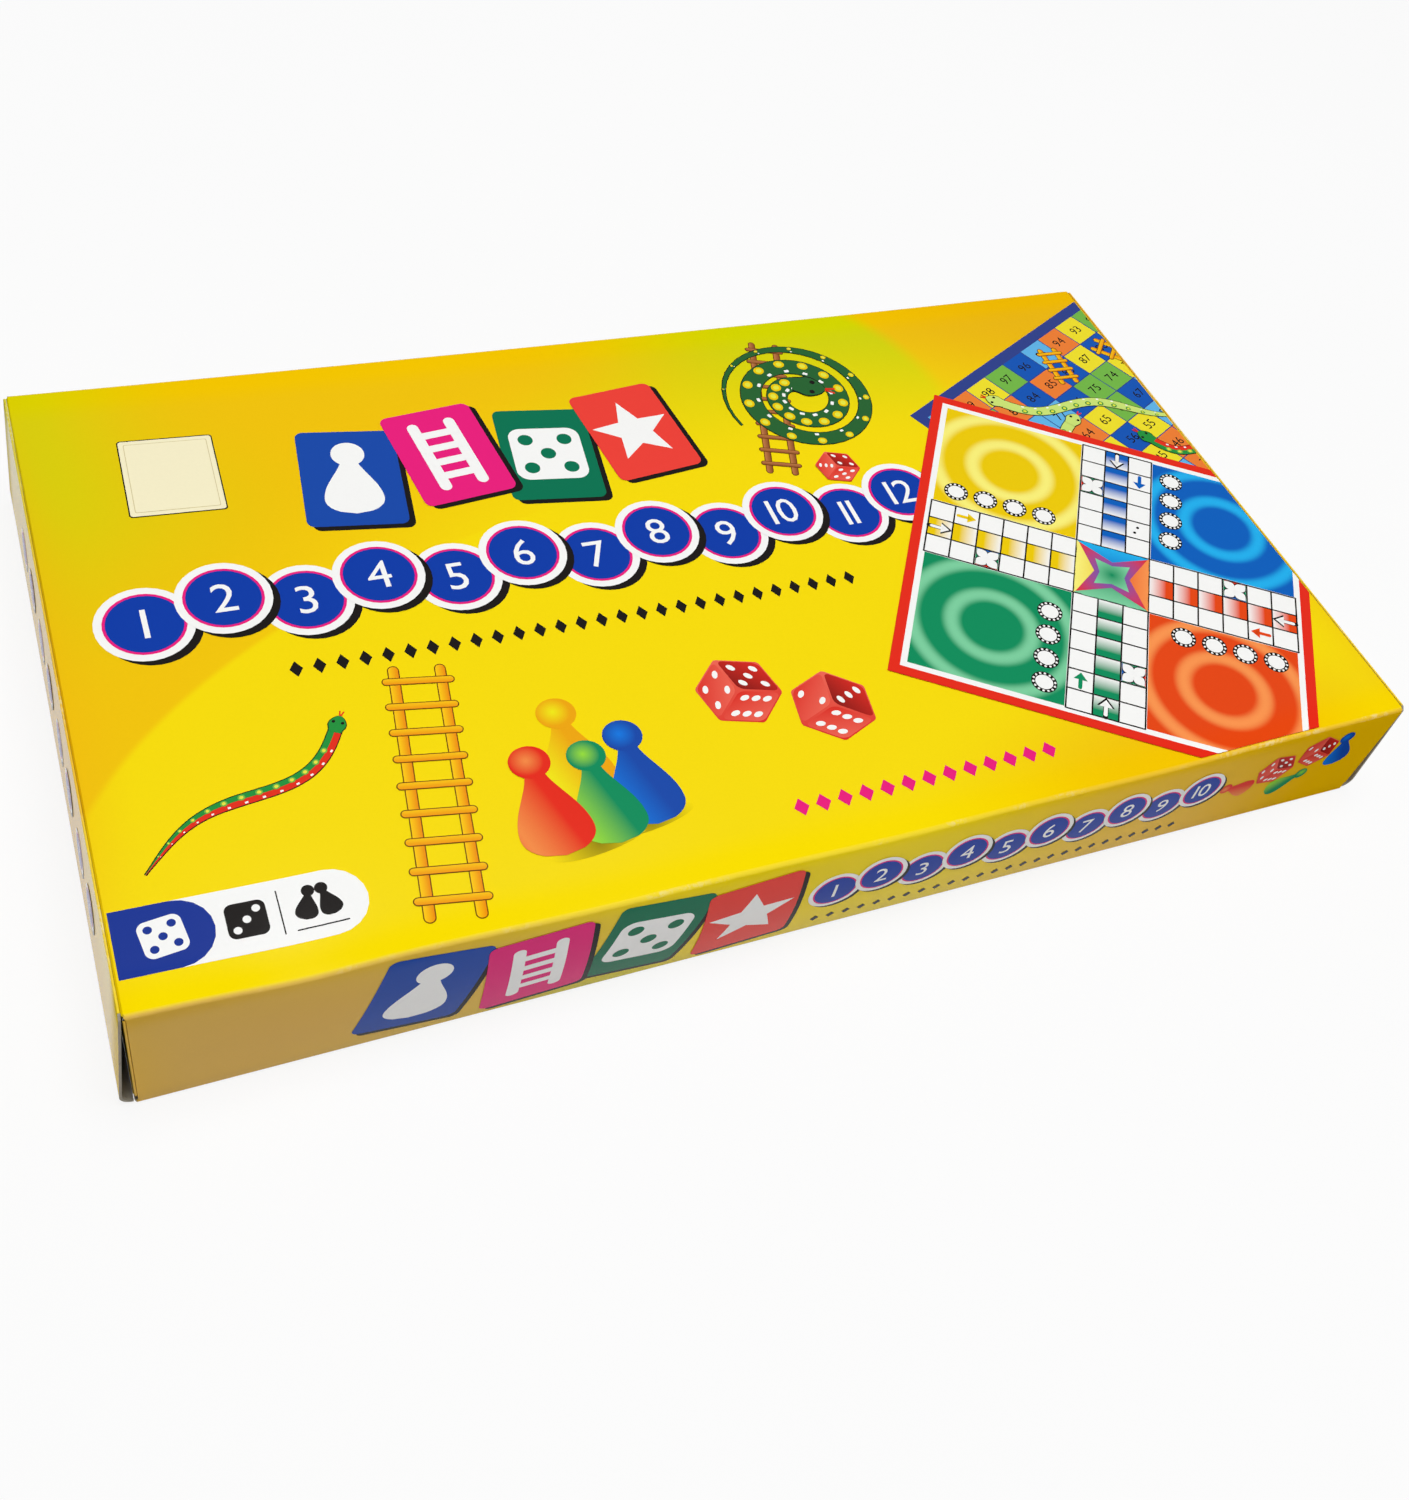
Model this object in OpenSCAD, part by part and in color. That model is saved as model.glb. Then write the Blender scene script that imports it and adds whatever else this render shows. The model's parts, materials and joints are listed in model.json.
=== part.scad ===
// Boxed snakes and ladders set: a printed tuck-end paperboard carton that holds a folding
// two-sided game board, sixteen pawns in four colours and a pair of dice.
// The carton lies flat: X runs along its length, Y from front to back, Z up.
// The origin is the centre of the face that it rests on.

/* [Carton tube] */
// Length of the carton
carton_length = 360; // [260:1:420]
// Depth of the carton from front to back
carton_depth = 200; // [140:1:260]
// Height of the carton
carton_height = 40; // [34:1:60]
// Thickness of the paperboard
card = 0.6; // [0.4:0.05:0.9]
// Inner radius of the long creases
crease_inner_radius = 0.6; // [0.4:0.1:1.5]
// Height of the glued flap inside the back panel
glue_flap_height = 14; // [8:1:24]
// How far the glue flap's ends slope in
glue_flap_taper = 6; // [2:1:12]

/* [End closures] */
// Outward lean of a closed end panel, in degrees
closure_lean = 4; // [3:0.5:6]
// How far an end panel swings open, in degrees
closure_swing = 215; // [150:5:220]
// Radius of the soft bend between an end panel and its tuck flap
tuck_bend_radius = 3; // [2:0.5:5]
// Length of a tuck flap from its crease
tuck_length = 11; // [7:0.5:14]
// Slope of a tucked flap above the floor, in degrees
tuck_rise = 18; // [14:1:24]
// Corner radius of a tuck flap
tuck_corner_radius = 7; // [2:0.5:7]
// Length of a dust flap from its crease
dust_flap_length = 25; // [14:1:30]
// Slope of a dust flap's upper edge, in degrees
dust_flap_slope = 28; // [26:1:34]
// Corner radius of a dust flap
dust_corner_radius = 4; // [1:0.5:6]
// Height of the slot that a dust flap leaves for the tuck flap
tuck_slot = 4; // [4:0.5:8]

/* [Game board] */
// Room along the carton that the folded board leaves for the tuck flaps and a hand
board_length_room = 70; // [36:1:110]
// Room across the carton that the folded board leaves for a row of pieces on each side
board_depth_room = 55; // [40:1:80]
// Thickness of one leaf
leaf_thickness = 2; // [1.2:0.1:3]
// Radius of the leaves' free corners
leaf_corner_radius = 6; // [2:1:15]
// Diameter of the film that joins the leaves along the fold
film_diameter = 1; // [0.6:0.1:1.6]

/* [Pawns] */
// Diameter of a pawn's foot
pawn_foot_diameter = 15; // [12:0.5:16]
// Height of a pawn's foot
pawn_foot_height = 2.4; // [1.6:0.1:4]
// Diameter of the flared skirt where it meets the foot
pawn_skirt_diameter = 12.6; // [9:0.2:13.4]
// Diameter of the neck
pawn_neck_diameter = 5; // [3.6:0.2:6]
// Diameter of the collar under the head
pawn_collar_diameter = 7.6; // [6.6:0.2:9]
// Height of the collar
pawn_collar_height = 1.2; // [0.8:0.1:2]
// Diameter of the ball head
pawn_head_diameter = 9; // [7:0.2:11]
// Overall height of a pawn
pawn_height = 24; // [20:0.5:30]

/* [Dice] */
// Edge of a die
die_edge = 12; // [10:0.5:15]
// Diameter of a pip
pip_diameter = 2.4; // [1.6:0.1:2.8]
// Depth of a pip
pip_depth = 0.5; // [0.3:0.1:0.8]

/* [Hidden] */
$fn = 64;
// Steps along a rounded corner
corner_steps = 8;
// Overrun of every cut
overrun = 1;

// Clearances: beside a crease, beside a closure's edges, and under a tuck flap
crease_gap = 0.05;
side_gap = 0.4;
tuck_floor_gap = 0.25;
dust_gap = 0.2;
film_gap = 0.08;
// Lift of the back panel's raw edge above the resting face
back_edge_lift = 0.3;
// Set-back of the glue flap from the ends of the tube
glue_end_gap = 2;
// Straight part of a dust flap's upper edge, next to its crease
dust_shoulder = 3;
// Free room between the board and the tucked left flap, and beside the rows of pieces
board_end_gap = 3.2;
row_end_gap = 11;
piece_gap = 1;
// Set-back of the film from the ends of the fold
film_end_gap = 2;
// Rounding of a pawn's foot and collar
pawn_edge_radius = 0.5;
// Diameter of the ball that rounds a die, and the spread of its pips, by its edge
die_ball_share = 1.44;
pip_spread_share = 0.26;

half_length = carton_length / 2;
half_depth = carton_depth / 2;
half_card = card / 2;
crease_radius = crease_inner_radius + card;

// Axis of an end panel's crease, and the ends of the tube's panels that it clears
hinge_x = half_length - half_card;
hinge_z = carton_height - half_card;
tube_end_x = hinge_x - half_card - crease_gap;
dust_x = hinge_x - card - dust_gap;
dust_y = half_depth - half_card;
side_end_x = dust_x - half_card - crease_gap;

// Soft bend of an end panel, in X and Z from its crease axis
bend_z = card + tuck_floor_gap + half_card + tuck_bend_radius - hinge_z;
closure_drop = -(bend_z + tuck_bend_radius * sin(closure_lean)) / cos(closure_lean);
bend_x = closure_drop * sin(closure_lean) - tuck_bend_radius * cos(closure_lean);
tuck_crease = [bend_x, bend_z - tuck_bend_radius];
closure_half_width = half_depth - side_gap;
tuck_half_width = half_depth - card - crease_radius - side_gap;
tuck_reach = tuck_length * cos(tuck_rise) - bend_x;

dust_top = carton_height - crease_radius - side_gap;
dust_tip_top = dust_top - (dust_flap_length - dust_shoulder) * tan(dust_flap_slope);

// The board lies on the floor, folded, with its fold towards the front
leaf_length = carton_length - board_length_room;
leaf_depth = carton_depth - board_depth_room;
board_left_x = -(hinge_x - tuck_reach - board_end_gap);
board_mid_x = board_left_x + leaf_length / 2;
fold_y = -leaf_depth / 2;
fold_z = card + leaf_thickness;
film_radius = film_diameter / 2;

// Pawns and dice stand in a row along each side of the board
PAWN_COLOURS = ["red", "green", "yellow", "blue"];
PAWN_TINTS = ["#d8261c", "#1d9a3a", "#f2c40f", "#1f5fc4"];
PAWNS_EACH = 4;
COLOURS_A_ROW = 2;
DICE = [1, 2];
piece_pitch = pawn_foot_diameter + piece_gap;
row_start_x = -(dust_x - half_card) + row_end_gap + pawn_foot_diameter / 2;
row_y = (half_depth - card - card - fold_y + film_radius) / 2;
die_x = row_start_x + COLOURS_A_ROW * PAWNS_EACH * piece_pitch;

// Heights along a pawn, and the arc of its flared skirt
pawn_head_radius = pawn_head_diameter / 2;
pawn_collar_z = pawn_height - pawn_head_diameter - pawn_collar_height / 2;
pawn_flare_height = pawn_collar_z - pawn_foot_height;
pawn_flare = (pawn_skirt_diameter - pawn_neck_diameter) / 2;
pawn_flare_radius = (pow(pawn_flare_height, 2) + pow(pawn_flare, 2)) / (2 * pawn_flare);

print_yellow = "#f0cf10";
raw_board = "#d9d4c8";
board_print = "#2f6fb4";
film_blue = "#24447a";
die_red = "#c8141c";

CARTON_NODES = [
    "top_panel", "bottom_panel", "front_panel", "back_panel", "glue_flap",
    "left_closure_panel", "left_tuck_flap", "left_front_dust_flap", "left_back_dust_flap",
    "right_closure_panel", "right_tuck_flap", "right_front_dust_flap", "right_back_dust_flap"
];
BOARD_NODES = ["board_lower_leaf", "board_upper_leaf", "board_hinge_film"];
PAWN_NODES = [for (colour = PAWN_COLOURS) for (i = [1 : PAWNS_EACH]) pawn_name(colour, i)];
DIE_NODES = [for (i = DICE) die_name(i)];

function pawn_name(colour, i) = str(colour, "_pawn_", i);
function die_name(i) = str("die_", i);

// Points of the arc that rounds the corner b of the outline a, b, c
function corner_arc(a, b, c, radius) =
    let (
        u = (a - b) / norm(a - b),
        v = (c - b) / norm(c - b),
        half_angle = acos(u * v) / 2,
        start = b + u * radius / tan(half_angle),
        end = b + v * radius / tan(half_angle),
        centre = b + (u + v) / norm(u + v) * radius / sin(half_angle),
        from = atan2(start.y - centre.y, start.x - centre.x),
        turn = atan2(end.y - centre.y, end.x - centre.x) - from,
        sweep = turn > 180 ? turn - 360 : turn < -180 ? turn + 360 : turn
    )
    [for (k = [0 : corner_steps])
        let (angle = from + sweep * k / corner_steps)
        centre + radius * [cos(angle), sin(angle)]];

// An outline with each corner rounded by its own radius, or sharp where that is zero
function rounded(points, radii) =
    let (count = len(points))
    [for (i = [0 : count - 1])
        each radii[i] > 0
            ? corner_arc(points[(i + count - 1) % count], points[i], points[(i + 1) % count], radii[i])
            : [points[i]]];

// A section in Y and Z, drawn out along X about the middle of the carton
module along_x(length) {
    rotate([90, 0, 90]) linear_extrude(length, center = true) children();
}

// A section in X and Z, drawn out along Y about the middle of the carton
module along_y(length) {
    rotate([90, 0, 0]) linear_extrude(length, center = true) children();
}

module both_ends() {
    children();
    mirror([1, 0, 0]) children();
}

// Part of a ring of card, between two angles less than 180 degrees apart
module card_arc(centre_radius, from, to) {
    reach = 2 * (centre_radius + card);
    middle = (from + to) / 2;
    intersection() {
        difference() {
            circle(r = centre_radius + half_card);
            circle(r = centre_radius - half_card);
        }
        polygon([[0, 0], for (angle = [from, middle, to]) reach * [cos(angle), sin(angle)]]);
    }
}

// Long crease at the origin of a section, from the angle given to 90 degrees further
module long_crease(from) {
    card_arc(crease_inner_radius + half_card, from, from + 90);
}

// Room for an end panel that is folded right back over the top
module fold_back_relief() {
    slot = card + 2 * crease_gap;
    along_y(carton_depth + 2 * overrun)
        translate([hinge_x, hinge_z])
        rotate(closure_lean + closure_swing)
        translate([-slot / 2, -crease_radius - overrun])
        square([slot, crease_radius + overrun]);
}

// Each panel of the tube carries the crease along one of its long edges
module top_panel() {
    flat = carton_depth - 2 * crease_radius;
    color(print_yellow)
    difference() {
        along_x(2 * tube_end_x) {
            translate([-flat / 2, carton_height - card]) square([flat, card]);
            translate([-flat / 2, carton_height - crease_radius]) long_crease(90);
        }
        both_ends() fold_back_relief();
    }
}

module bottom_panel() {
    front = -half_depth + crease_radius;
    back = half_depth - card - crease_radius;
    color(print_yellow)
    along_x(2 * tube_end_x) translate([front, 0]) square([back - front, card]);
}

module front_panel() {
    color(print_yellow)
    along_x(2 * side_end_x) {
        translate([-half_depth, crease_radius]) square([card, carton_height - 2 * crease_radius]);
        translate([-half_depth + crease_radius, crease_radius]) long_crease(180);
    }
}

module back_panel() {
    color(print_yellow)
    along_x(2 * side_end_x) {
        translate([half_depth - card, back_edge_lift])
            square([card, carton_height - crease_radius - back_edge_lift]);
        translate([half_depth - crease_radius, carton_height - crease_radius]) long_crease(0);
    }
}

// The flap turns up from the floor and is glued to the inside of the back panel
module glue_flap() {
    end_x = side_end_x - glue_end_gap;
    top_z = crease_radius + glue_flap_height;
    color(raw_board) {
        along_x(2 * end_x)
            translate([half_depth - card - crease_radius, crease_radius]) long_crease(270);
        translate([0, half_depth - card - half_card, 0])
            along_y(card)
            polygon([
                [-end_x, crease_radius], [end_x, crease_radius],
                [end_x - glue_flap_taper, top_z], [-end_x + glue_flap_taper, top_z]
            ]);
    }
}

// Right end panel in X and Z from its crease, upright: a bead, the panel and the soft bend below it
module closure_section() {
    turn = 90 + closure_lean;
    difference() {
        union() {
            circle(d = card);
            translate([-half_card, -closure_drop]) square([card, closure_drop]);
            translate([-tuck_bend_radius, -closure_drop]) card_arc(tuck_bend_radius, -turn, 0);
        }
        translate([-tuck_bend_radius, -closure_drop])
            rotate(-turn)
            translate([tuck_bend_radius, 0])
            circle(r = half_card + crease_gap);
    }
}

// Right end panel, leaning out, with its upper corners cut back to the carton's long creases
module closure_panel() {
    width = closure_half_width;
    shoulder = closure_half_width - crease_radius;
    foot = -carton_height;
    translate([hinge_x, 0, hinge_z])
    rotate([0, -closure_lean, 0])
    intersection() {
        along_y(2 * width) closure_section();
        along_x(carton_height)
            polygon([
                [-width, foot], [width, foot], [width, -crease_radius],
                [shoulder, half_card], [-shoulder, half_card], [-width, -crease_radius]
            ]);
    }
}

// Right tuck flap: a crease bead and a plate with round corners that slopes up behind the panel
module tuck_flap() {
    width = tuck_half_width;
    outline = [[0, -width], [0, width], [-tuck_length, width], [-tuck_length, -width]];
    translate([hinge_x + tuck_crease.x, 0, hinge_z + tuck_crease.y]) {
        rotate([90, 0, 0]) cylinder(d = card, h = 2 * width, center = true);
        rotate([0, tuck_rise, 0])
            translate([0, 0, -half_card])
            linear_extrude(card)
            polygon(rounded(outline, [0, 0, tuck_corner_radius, tuck_corner_radius]));
    }
}

// Right front dust flap: an upright crease bead and a tapered plate folded in behind the end panel
module dust_flap() {
    outline = [
        [0, tuck_slot], [dust_flap_length, tuck_slot], [dust_flap_length, dust_tip_top],
        [dust_shoulder, dust_top], [0, dust_top]
    ];
    translate([dust_x, -dust_y, 0]) {
        translate([0, 0, tuck_slot]) cylinder(d = card, h = dust_top - tuck_slot);
        along_x(card) polygon(rounded(outline, [0, dust_corner_radius, dust_corner_radius, 0, 0]));
    }
}

module right_closure_panel() { color(print_yellow) closure_panel(); }
module right_tuck_flap() { color(print_yellow) tuck_flap(); }
module right_front_dust_flap() { color(raw_board) dust_flap(); }
module right_back_dust_flap() { color(raw_board) mirror([0, 1, 0]) dust_flap(); }
module left_closure_panel() { color(print_yellow) mirror([1, 0, 0]) closure_panel(); }
module left_tuck_flap() { color(print_yellow) mirror([1, 0, 0]) tuck_flap(); }
module left_front_dust_flap() { color(raw_board) mirror([1, 0, 0]) dust_flap(); }
module left_back_dust_flap() { color(raw_board) mirror([1, 0, 0]) mirror([0, 1, 0]) dust_flap(); }

// One leaf of the board, from the height given, with a groove for the film along its fold
module board_leaf(base_z) {
    half = leaf_length / 2;
    outline = [[-half, fold_y], [half, fold_y], [half, -fold_y], [-half, -fold_y]];
    difference() {
        translate([board_mid_x, 0, base_z])
            linear_extrude(leaf_thickness)
            polygon(rounded(outline, [0, 0, leaf_corner_radius, leaf_corner_radius]));
        film_bar(film_radius + film_gap, leaf_length + 2 * overrun);
    }
}

// A round bar along the fold
module film_bar(radius, length) {
    translate([board_mid_x, fold_y, fold_z])
        rotate([0, 90, 0]) cylinder(r = radius, h = length, center = true);
}

module board_lower_leaf() { color(board_print) board_leaf(card); }
module board_upper_leaf() { color(board_print) board_leaf(fold_z); }
module board_hinge_film() { color(film_blue) film_bar(film_radius, leaf_length - 2 * film_end_gap); }

// A turned disc with rounded rims
module turned_disc(diameter, height) {
    radius = diameter / 2;
    rotate_extrude()
        polygon(rounded([[0, 0], [radius, 0], [radius, height], [0, height]],
            [0, pawn_edge_radius, pawn_edge_radius, 0]));
}

// A pawn on the origin: foot, flared skirt, collar and ball head
module pawn_shape() {
    turned_disc(pawn_foot_diameter, pawn_foot_height);
    translate([0, 0, pawn_foot_height])
        rotate_extrude()
        difference() {
            square([pawn_skirt_diameter / 2, pawn_flare_height]);
            translate([pawn_neck_diameter / 2 + pawn_flare_radius, pawn_flare_height])
                circle(r = pawn_flare_radius, $fn = 4 * $fn);
        }
    translate([0, 0, pawn_collar_z]) turned_disc(pawn_collar_diameter, pawn_collar_height);
    translate([0, 0, pawn_height - pawn_head_radius]) sphere(d = pawn_head_diameter);
}

// Pawn i of a colour: two colours stand in front of the board and two behind it
module pawn(colour, i) {
    place = (colour % COLOURS_A_ROW) * PAWNS_EACH + i - 1;
    side = colour < COLOURS_A_ROW ? -1 : 1;
    color(PAWN_TINTS[colour])
        translate([row_start_x + place * piece_pitch, side * row_y, card]) pawn_shape();
}

// Pip centres on the face with the value given, as steps of the pip spread
function pip_steps(value) = concat(
    value % 2 == 1 ? [[0, 0]] : [],
    value > 1 ? [[-1, -1], [1, 1]] : [],
    value > 3 ? [[-1, 1], [1, -1]] : [],
    value == 6 ? [[-1, 0], [1, 0]] : []);

// Hollows of one face, sunk into the top of a die centred on the origin
module pips(value) {
    ball = (pow(pip_diameter / 2, 2) + pow(pip_depth, 2)) / (2 * pip_depth);
    for (step = pip_steps(value))
        translate([each step * die_edge * pip_spread_share, die_edge / 2 - pip_depth + ball])
            sphere(r = ball);
}

// A die whose opposite faces add up to seven
module die(i) {
    side = i == 1 ? -1 : 1;
    color(die_red)
    translate([die_x, side * row_y, card + die_edge / 2])
    difference() {
        intersection() {
            cube(die_edge, center = true);
            sphere(d = die_edge * die_ball_share, $fn = 2 * $fn);
        }
        pips(1);
        rotate([180, 0, 0]) pips(6);
        rotate([90, 0, 0]) pips(2);
        rotate([-90, 0, 0]) pips(5);
        rotate([0, 90, 0]) pips(3);
        rotate([0, -90, 0]) pips(4);
    }
}

top_panel();
bottom_panel();
front_panel();
back_panel();
glue_flap();
left_closure_panel();
left_tuck_flap();
left_front_dust_flap();
left_back_dust_flap();
right_closure_panel();
right_tuck_flap();
right_front_dust_flap();
right_back_dust_flap();
board_lower_leaf();
board_upper_leaf();
board_hinge_film();
for (colour = [0 : len(PAWN_COLOURS) - 1])
    for (i = [1 : PAWNS_EACH])
        pawn(colour, i);
for (i = DICE)
    die(i);
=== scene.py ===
"""Looks of a boxed snakes and ladders set: a printed tuck-end carton, its folding board, pawns and dice."""
import json
import math
from collections import namedtuple

import bmesh
import bpy
import numpy as np
from bpy.props import FloatProperty, FloatVectorProperty, PointerProperty
from mathutils import Matrix, Vector
from mathutils.geometry import tessellate_polygon


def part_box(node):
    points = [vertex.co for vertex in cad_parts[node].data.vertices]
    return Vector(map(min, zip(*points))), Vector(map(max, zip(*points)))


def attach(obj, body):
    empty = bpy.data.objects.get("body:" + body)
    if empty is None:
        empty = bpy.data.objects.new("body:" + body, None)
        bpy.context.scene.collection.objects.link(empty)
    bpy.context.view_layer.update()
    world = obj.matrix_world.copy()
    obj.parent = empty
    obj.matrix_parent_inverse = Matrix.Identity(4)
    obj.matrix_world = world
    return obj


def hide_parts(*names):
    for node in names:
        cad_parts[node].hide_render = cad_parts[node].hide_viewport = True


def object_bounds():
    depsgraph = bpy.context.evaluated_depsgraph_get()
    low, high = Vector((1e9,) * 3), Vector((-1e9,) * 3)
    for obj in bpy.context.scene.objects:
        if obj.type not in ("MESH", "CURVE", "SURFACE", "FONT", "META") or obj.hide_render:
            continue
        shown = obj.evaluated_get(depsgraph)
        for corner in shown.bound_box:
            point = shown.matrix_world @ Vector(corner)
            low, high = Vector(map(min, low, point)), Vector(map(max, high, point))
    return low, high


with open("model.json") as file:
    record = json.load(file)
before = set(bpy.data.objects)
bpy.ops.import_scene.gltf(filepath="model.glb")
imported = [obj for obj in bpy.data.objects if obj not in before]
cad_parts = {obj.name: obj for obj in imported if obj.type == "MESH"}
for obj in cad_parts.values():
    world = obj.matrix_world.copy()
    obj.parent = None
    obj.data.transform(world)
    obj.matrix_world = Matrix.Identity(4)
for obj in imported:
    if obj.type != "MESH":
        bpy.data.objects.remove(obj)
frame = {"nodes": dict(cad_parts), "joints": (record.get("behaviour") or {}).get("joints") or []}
CAD_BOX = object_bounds()

bl_info = {
    "name": "Boxed Snakes and Ladders Set",
    "version": (1, 0, 0),
    "blender": (4, 5, 0),
    "location": "View3D > Sidebar > Game Set",
    "description": "Dresses the packed carton, board, pawns and dice of a boxed game",
    "category": "Object",
}

MM = 0.001
TURN = 2 * math.pi
QUARTER = math.pi / 2
WHITE = (1.0, 1.0, 1.0)
ENDS = {"left": -1, "right": 1}
SIDES = {"front": -1, "back": 1}


def joint_place(name):
    """A point on a joint's axis at rest."""
    return Vector(next(j["pos_m"] for j in frame["joints"] if j["name"] == name))


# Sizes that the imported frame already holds
TOP_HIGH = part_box("top_panel")[1]
FRONT_LOW, FRONT_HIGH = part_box("front_panel")
FLOOR_LOW, FLOOR_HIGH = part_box("bottom_panel")
BACK_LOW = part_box("back_panel")[0]
GLUE_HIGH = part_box("glue_flap")[1]
DUST_LOW, DUST_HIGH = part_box("right_front_dust_flap")
CLOSURE_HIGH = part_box("right_closure_panel")[1]
TUCK_LOW, TUCK_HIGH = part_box("right_tuck_flap")
LOWER_LOW, LOWER_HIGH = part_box("board_lower_leaf")
UPPER_LOW, UPPER_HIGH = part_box("board_upper_leaf")
CARD = FLOOR_HIGH.z - FLOOR_LOW.z
HALF_CARD = CARD / 2
CREASE_GAP = 0.05 * MM
HALF_DEPTH = -FRONT_LOW.y
HEIGHT = TOP_HIGH.z
CREASE_RADIUS = FLOOR_LOW.y - FRONT_LOW.y
CLOSURE_HINGE = joint_place("right_closure_swing")
HALF_LENGTH = CLOSURE_HINGE.x + HALF_CARD
TUCK_CREASE = joint_place("right_tuck_crease")
DUST_CREASE = joint_place("right_front_dust_crease")
FOLD = joint_place("board_fold")

# Steps of round forms, and rows and columns of the bent sheets
ROUND_STEPS = 32
PIP_STEPS = 16
BEAD_STEPS = 20
CORNER_STEPS = 8
BAR_END_STEPS = 10
CREASE_ROWS = 6
TUBE_COLUMNS = 90
TOP_ROWS = 44
FRONT_ROWS = 12
BACK_ROWS = 10
FLOOR_ROWS = 40
GLUE_ROWS = 4
CLOSURE_COLUMNS = 40
CLOSURE_ROWS = 14
SHOULDER_ROWS = 2
TUCK_BEND_ROWS = 10

# Films of ink, in millimetres: height of the lowest layer, step between layers, and depth in steps
FILM_BASE = 0.04
FILM_STEP = 0.02
FILM_OVERLAP = 0.8


def srgb(red, green, blue):
    """Linear colour of three 8-bit screen values."""
    shares = np.array((red, green, blue)) / 255
    linear = np.where(shares <= 0.04045, shares / 12.92, ((shares + 0.055) / 1.055) ** 2.4)
    return tuple(float(v) for v in linear)


INKS = {
    "carton_yellow": ("Light yellow of the carton", (250, 222, 2)),
    "warm_yellow": ("Warm yellow of the carton", (245, 198, 2)),
    "green_yellow": ("Green yellow of the carton", (212, 214, 2)),
    "amber": ("Amber of the carton", (240, 186, 4)),
    # The front's ochre is painted shade: it darkens and warms the front panel as if it stood in shade.
    "ochre": ("Ochre painted as shade on the front", (228, 180, 80)),
    "white": ("White ink", (250, 250, 248)),
    "black": ("Black ink", (26, 22, 20)),
    "stone_blue": ("Blue of the numbered stones", (10, 60, 168)),
    "pink": ("Pink of rings and diamonds", (236, 30, 126)),
    "tile_blue": ("Blue tile", (24, 74, 170)),
    "tile_green": ("Green tile", (4, 116, 82)),
    "tile_red": ("Red tile", (240, 66, 56)),
    "cream": ("Cream of the label", (250, 242, 204)),
    "label_line": ("Inner line of the label", (214, 200, 150)),
    "pill_blue": ("Blue of the rounded strip", (26, 54, 148)),
    "navy": ("Frame of the number board", (48, 66, 140)),
    "cell_blue": ("Blue cells", (18, 86, 182)),
    "cell_sky": ("Sky blue cells", (98, 182, 234)),
    "cell_lime": ("Green cells", (116, 184, 72)),
    "cell_orange": ("Orange cells", (240, 128, 52)),
    "cell_yellow": ("Yellow cells", (242, 226, 44)),
    "cross_red": ("Frame of the cross board", (232, 44, 26)),
    "yard_yellow": ("Yellow yard", (240, 204, 0)),
    "yard_blue": ("Blue yard", (6, 96, 190)),
    "yard_green": ("Green yard", (10, 142, 92)),
    "yard_red": ("Red yard", (232, 72, 18)),
    "glow_yellow": ("Rings of the yellow yard", (254, 246, 130)),
    "glow_blue": ("Rings of the blue yard", (36, 184, 244)),
    "glow_green": ("Rings of the green yard", (132, 214, 166)),
    "glow_red": ("Rings of the red yard", (254, 156, 84)),
    "rail": ("Ladder rails", (240, 140, 12)),
    "rail_light": ("Lit side of ladder rails", (255, 206, 20)),
    "wood": ("Rails of the brown ladder", (140, 78, 40)),
    "wood_light": ("Lit side of the brown ladder", (196, 126, 72)),
    "line": ("Thin brown outlines", (110, 62, 12)),
    "snake_red": ("Red snake", (228, 48, 28)),
    "snake_green": ("Green snake", (36, 146, 62)),
    "snake_dark": ("Coiled snake", (40, 100, 50)),
    "snake_light": ("Snake spots", (232, 232, 70)),
    "snake_pale": ("Pale green snake", (206, 230, 120)),
    "die_red": ("Drawn die", (222, 44, 34)),
    "die_dark": ("Shaded face of a drawn die", (132, 24, 20)),
    "die_light": ("Lit face of a drawn die", (240, 104, 86)),
    "pawn_amber": ("Shaded side of the yellow pawn", (240, 168, 8)),
    "orange_light": ("Lit side of the red pawn", (246, 142, 72)),
    "green_light": ("Lit side of the green pawn", (152, 222, 60)),
    "yellow_light": ("Lit side of the yellow pawn", (244, 236, 20)),
    "blue_light": ("Lit side of the blue pawn", (20, 122, 226)),
    "shade": ("Printed shadow", (150, 132, 0)),
}


def colour_setting(label, description, screen_values):
    """A colour in the panel."""
    return FloatVectorProperty(name=label, description=description, default=srgb(*screen_values),
                               size=3, min=0, max=1, subtype="COLOR")


def vector_setting(label, description, value, subtype):
    """A place or a direction in the panel."""
    return FloatVectorProperty(name=label, description=description, default=value, size=3, subtype=subtype)


def length_setting(label, description, millimetres):
    """A length in the panel."""
    return FloatProperty(name=label, description=description, default=millimetres * MM, unit="LENGTH")


def angle_setting(label, description, degrees):
    """An angle in the panel."""
    return FloatProperty(name=label, description=description, default=math.radians(degrees), subtype="ANGLE")


def plain_setting(label, description, value):
    """A plain number in the panel."""
    return FloatProperty(name=label, description=description, default=value)


class GAME_PG_inks(bpy.types.PropertyGroup):
    """Printing inks of the carton and the board"""
    __annotations__ = {key: colour_setting(label, label, value) for key, (label, value) in INKS.items()}


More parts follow.
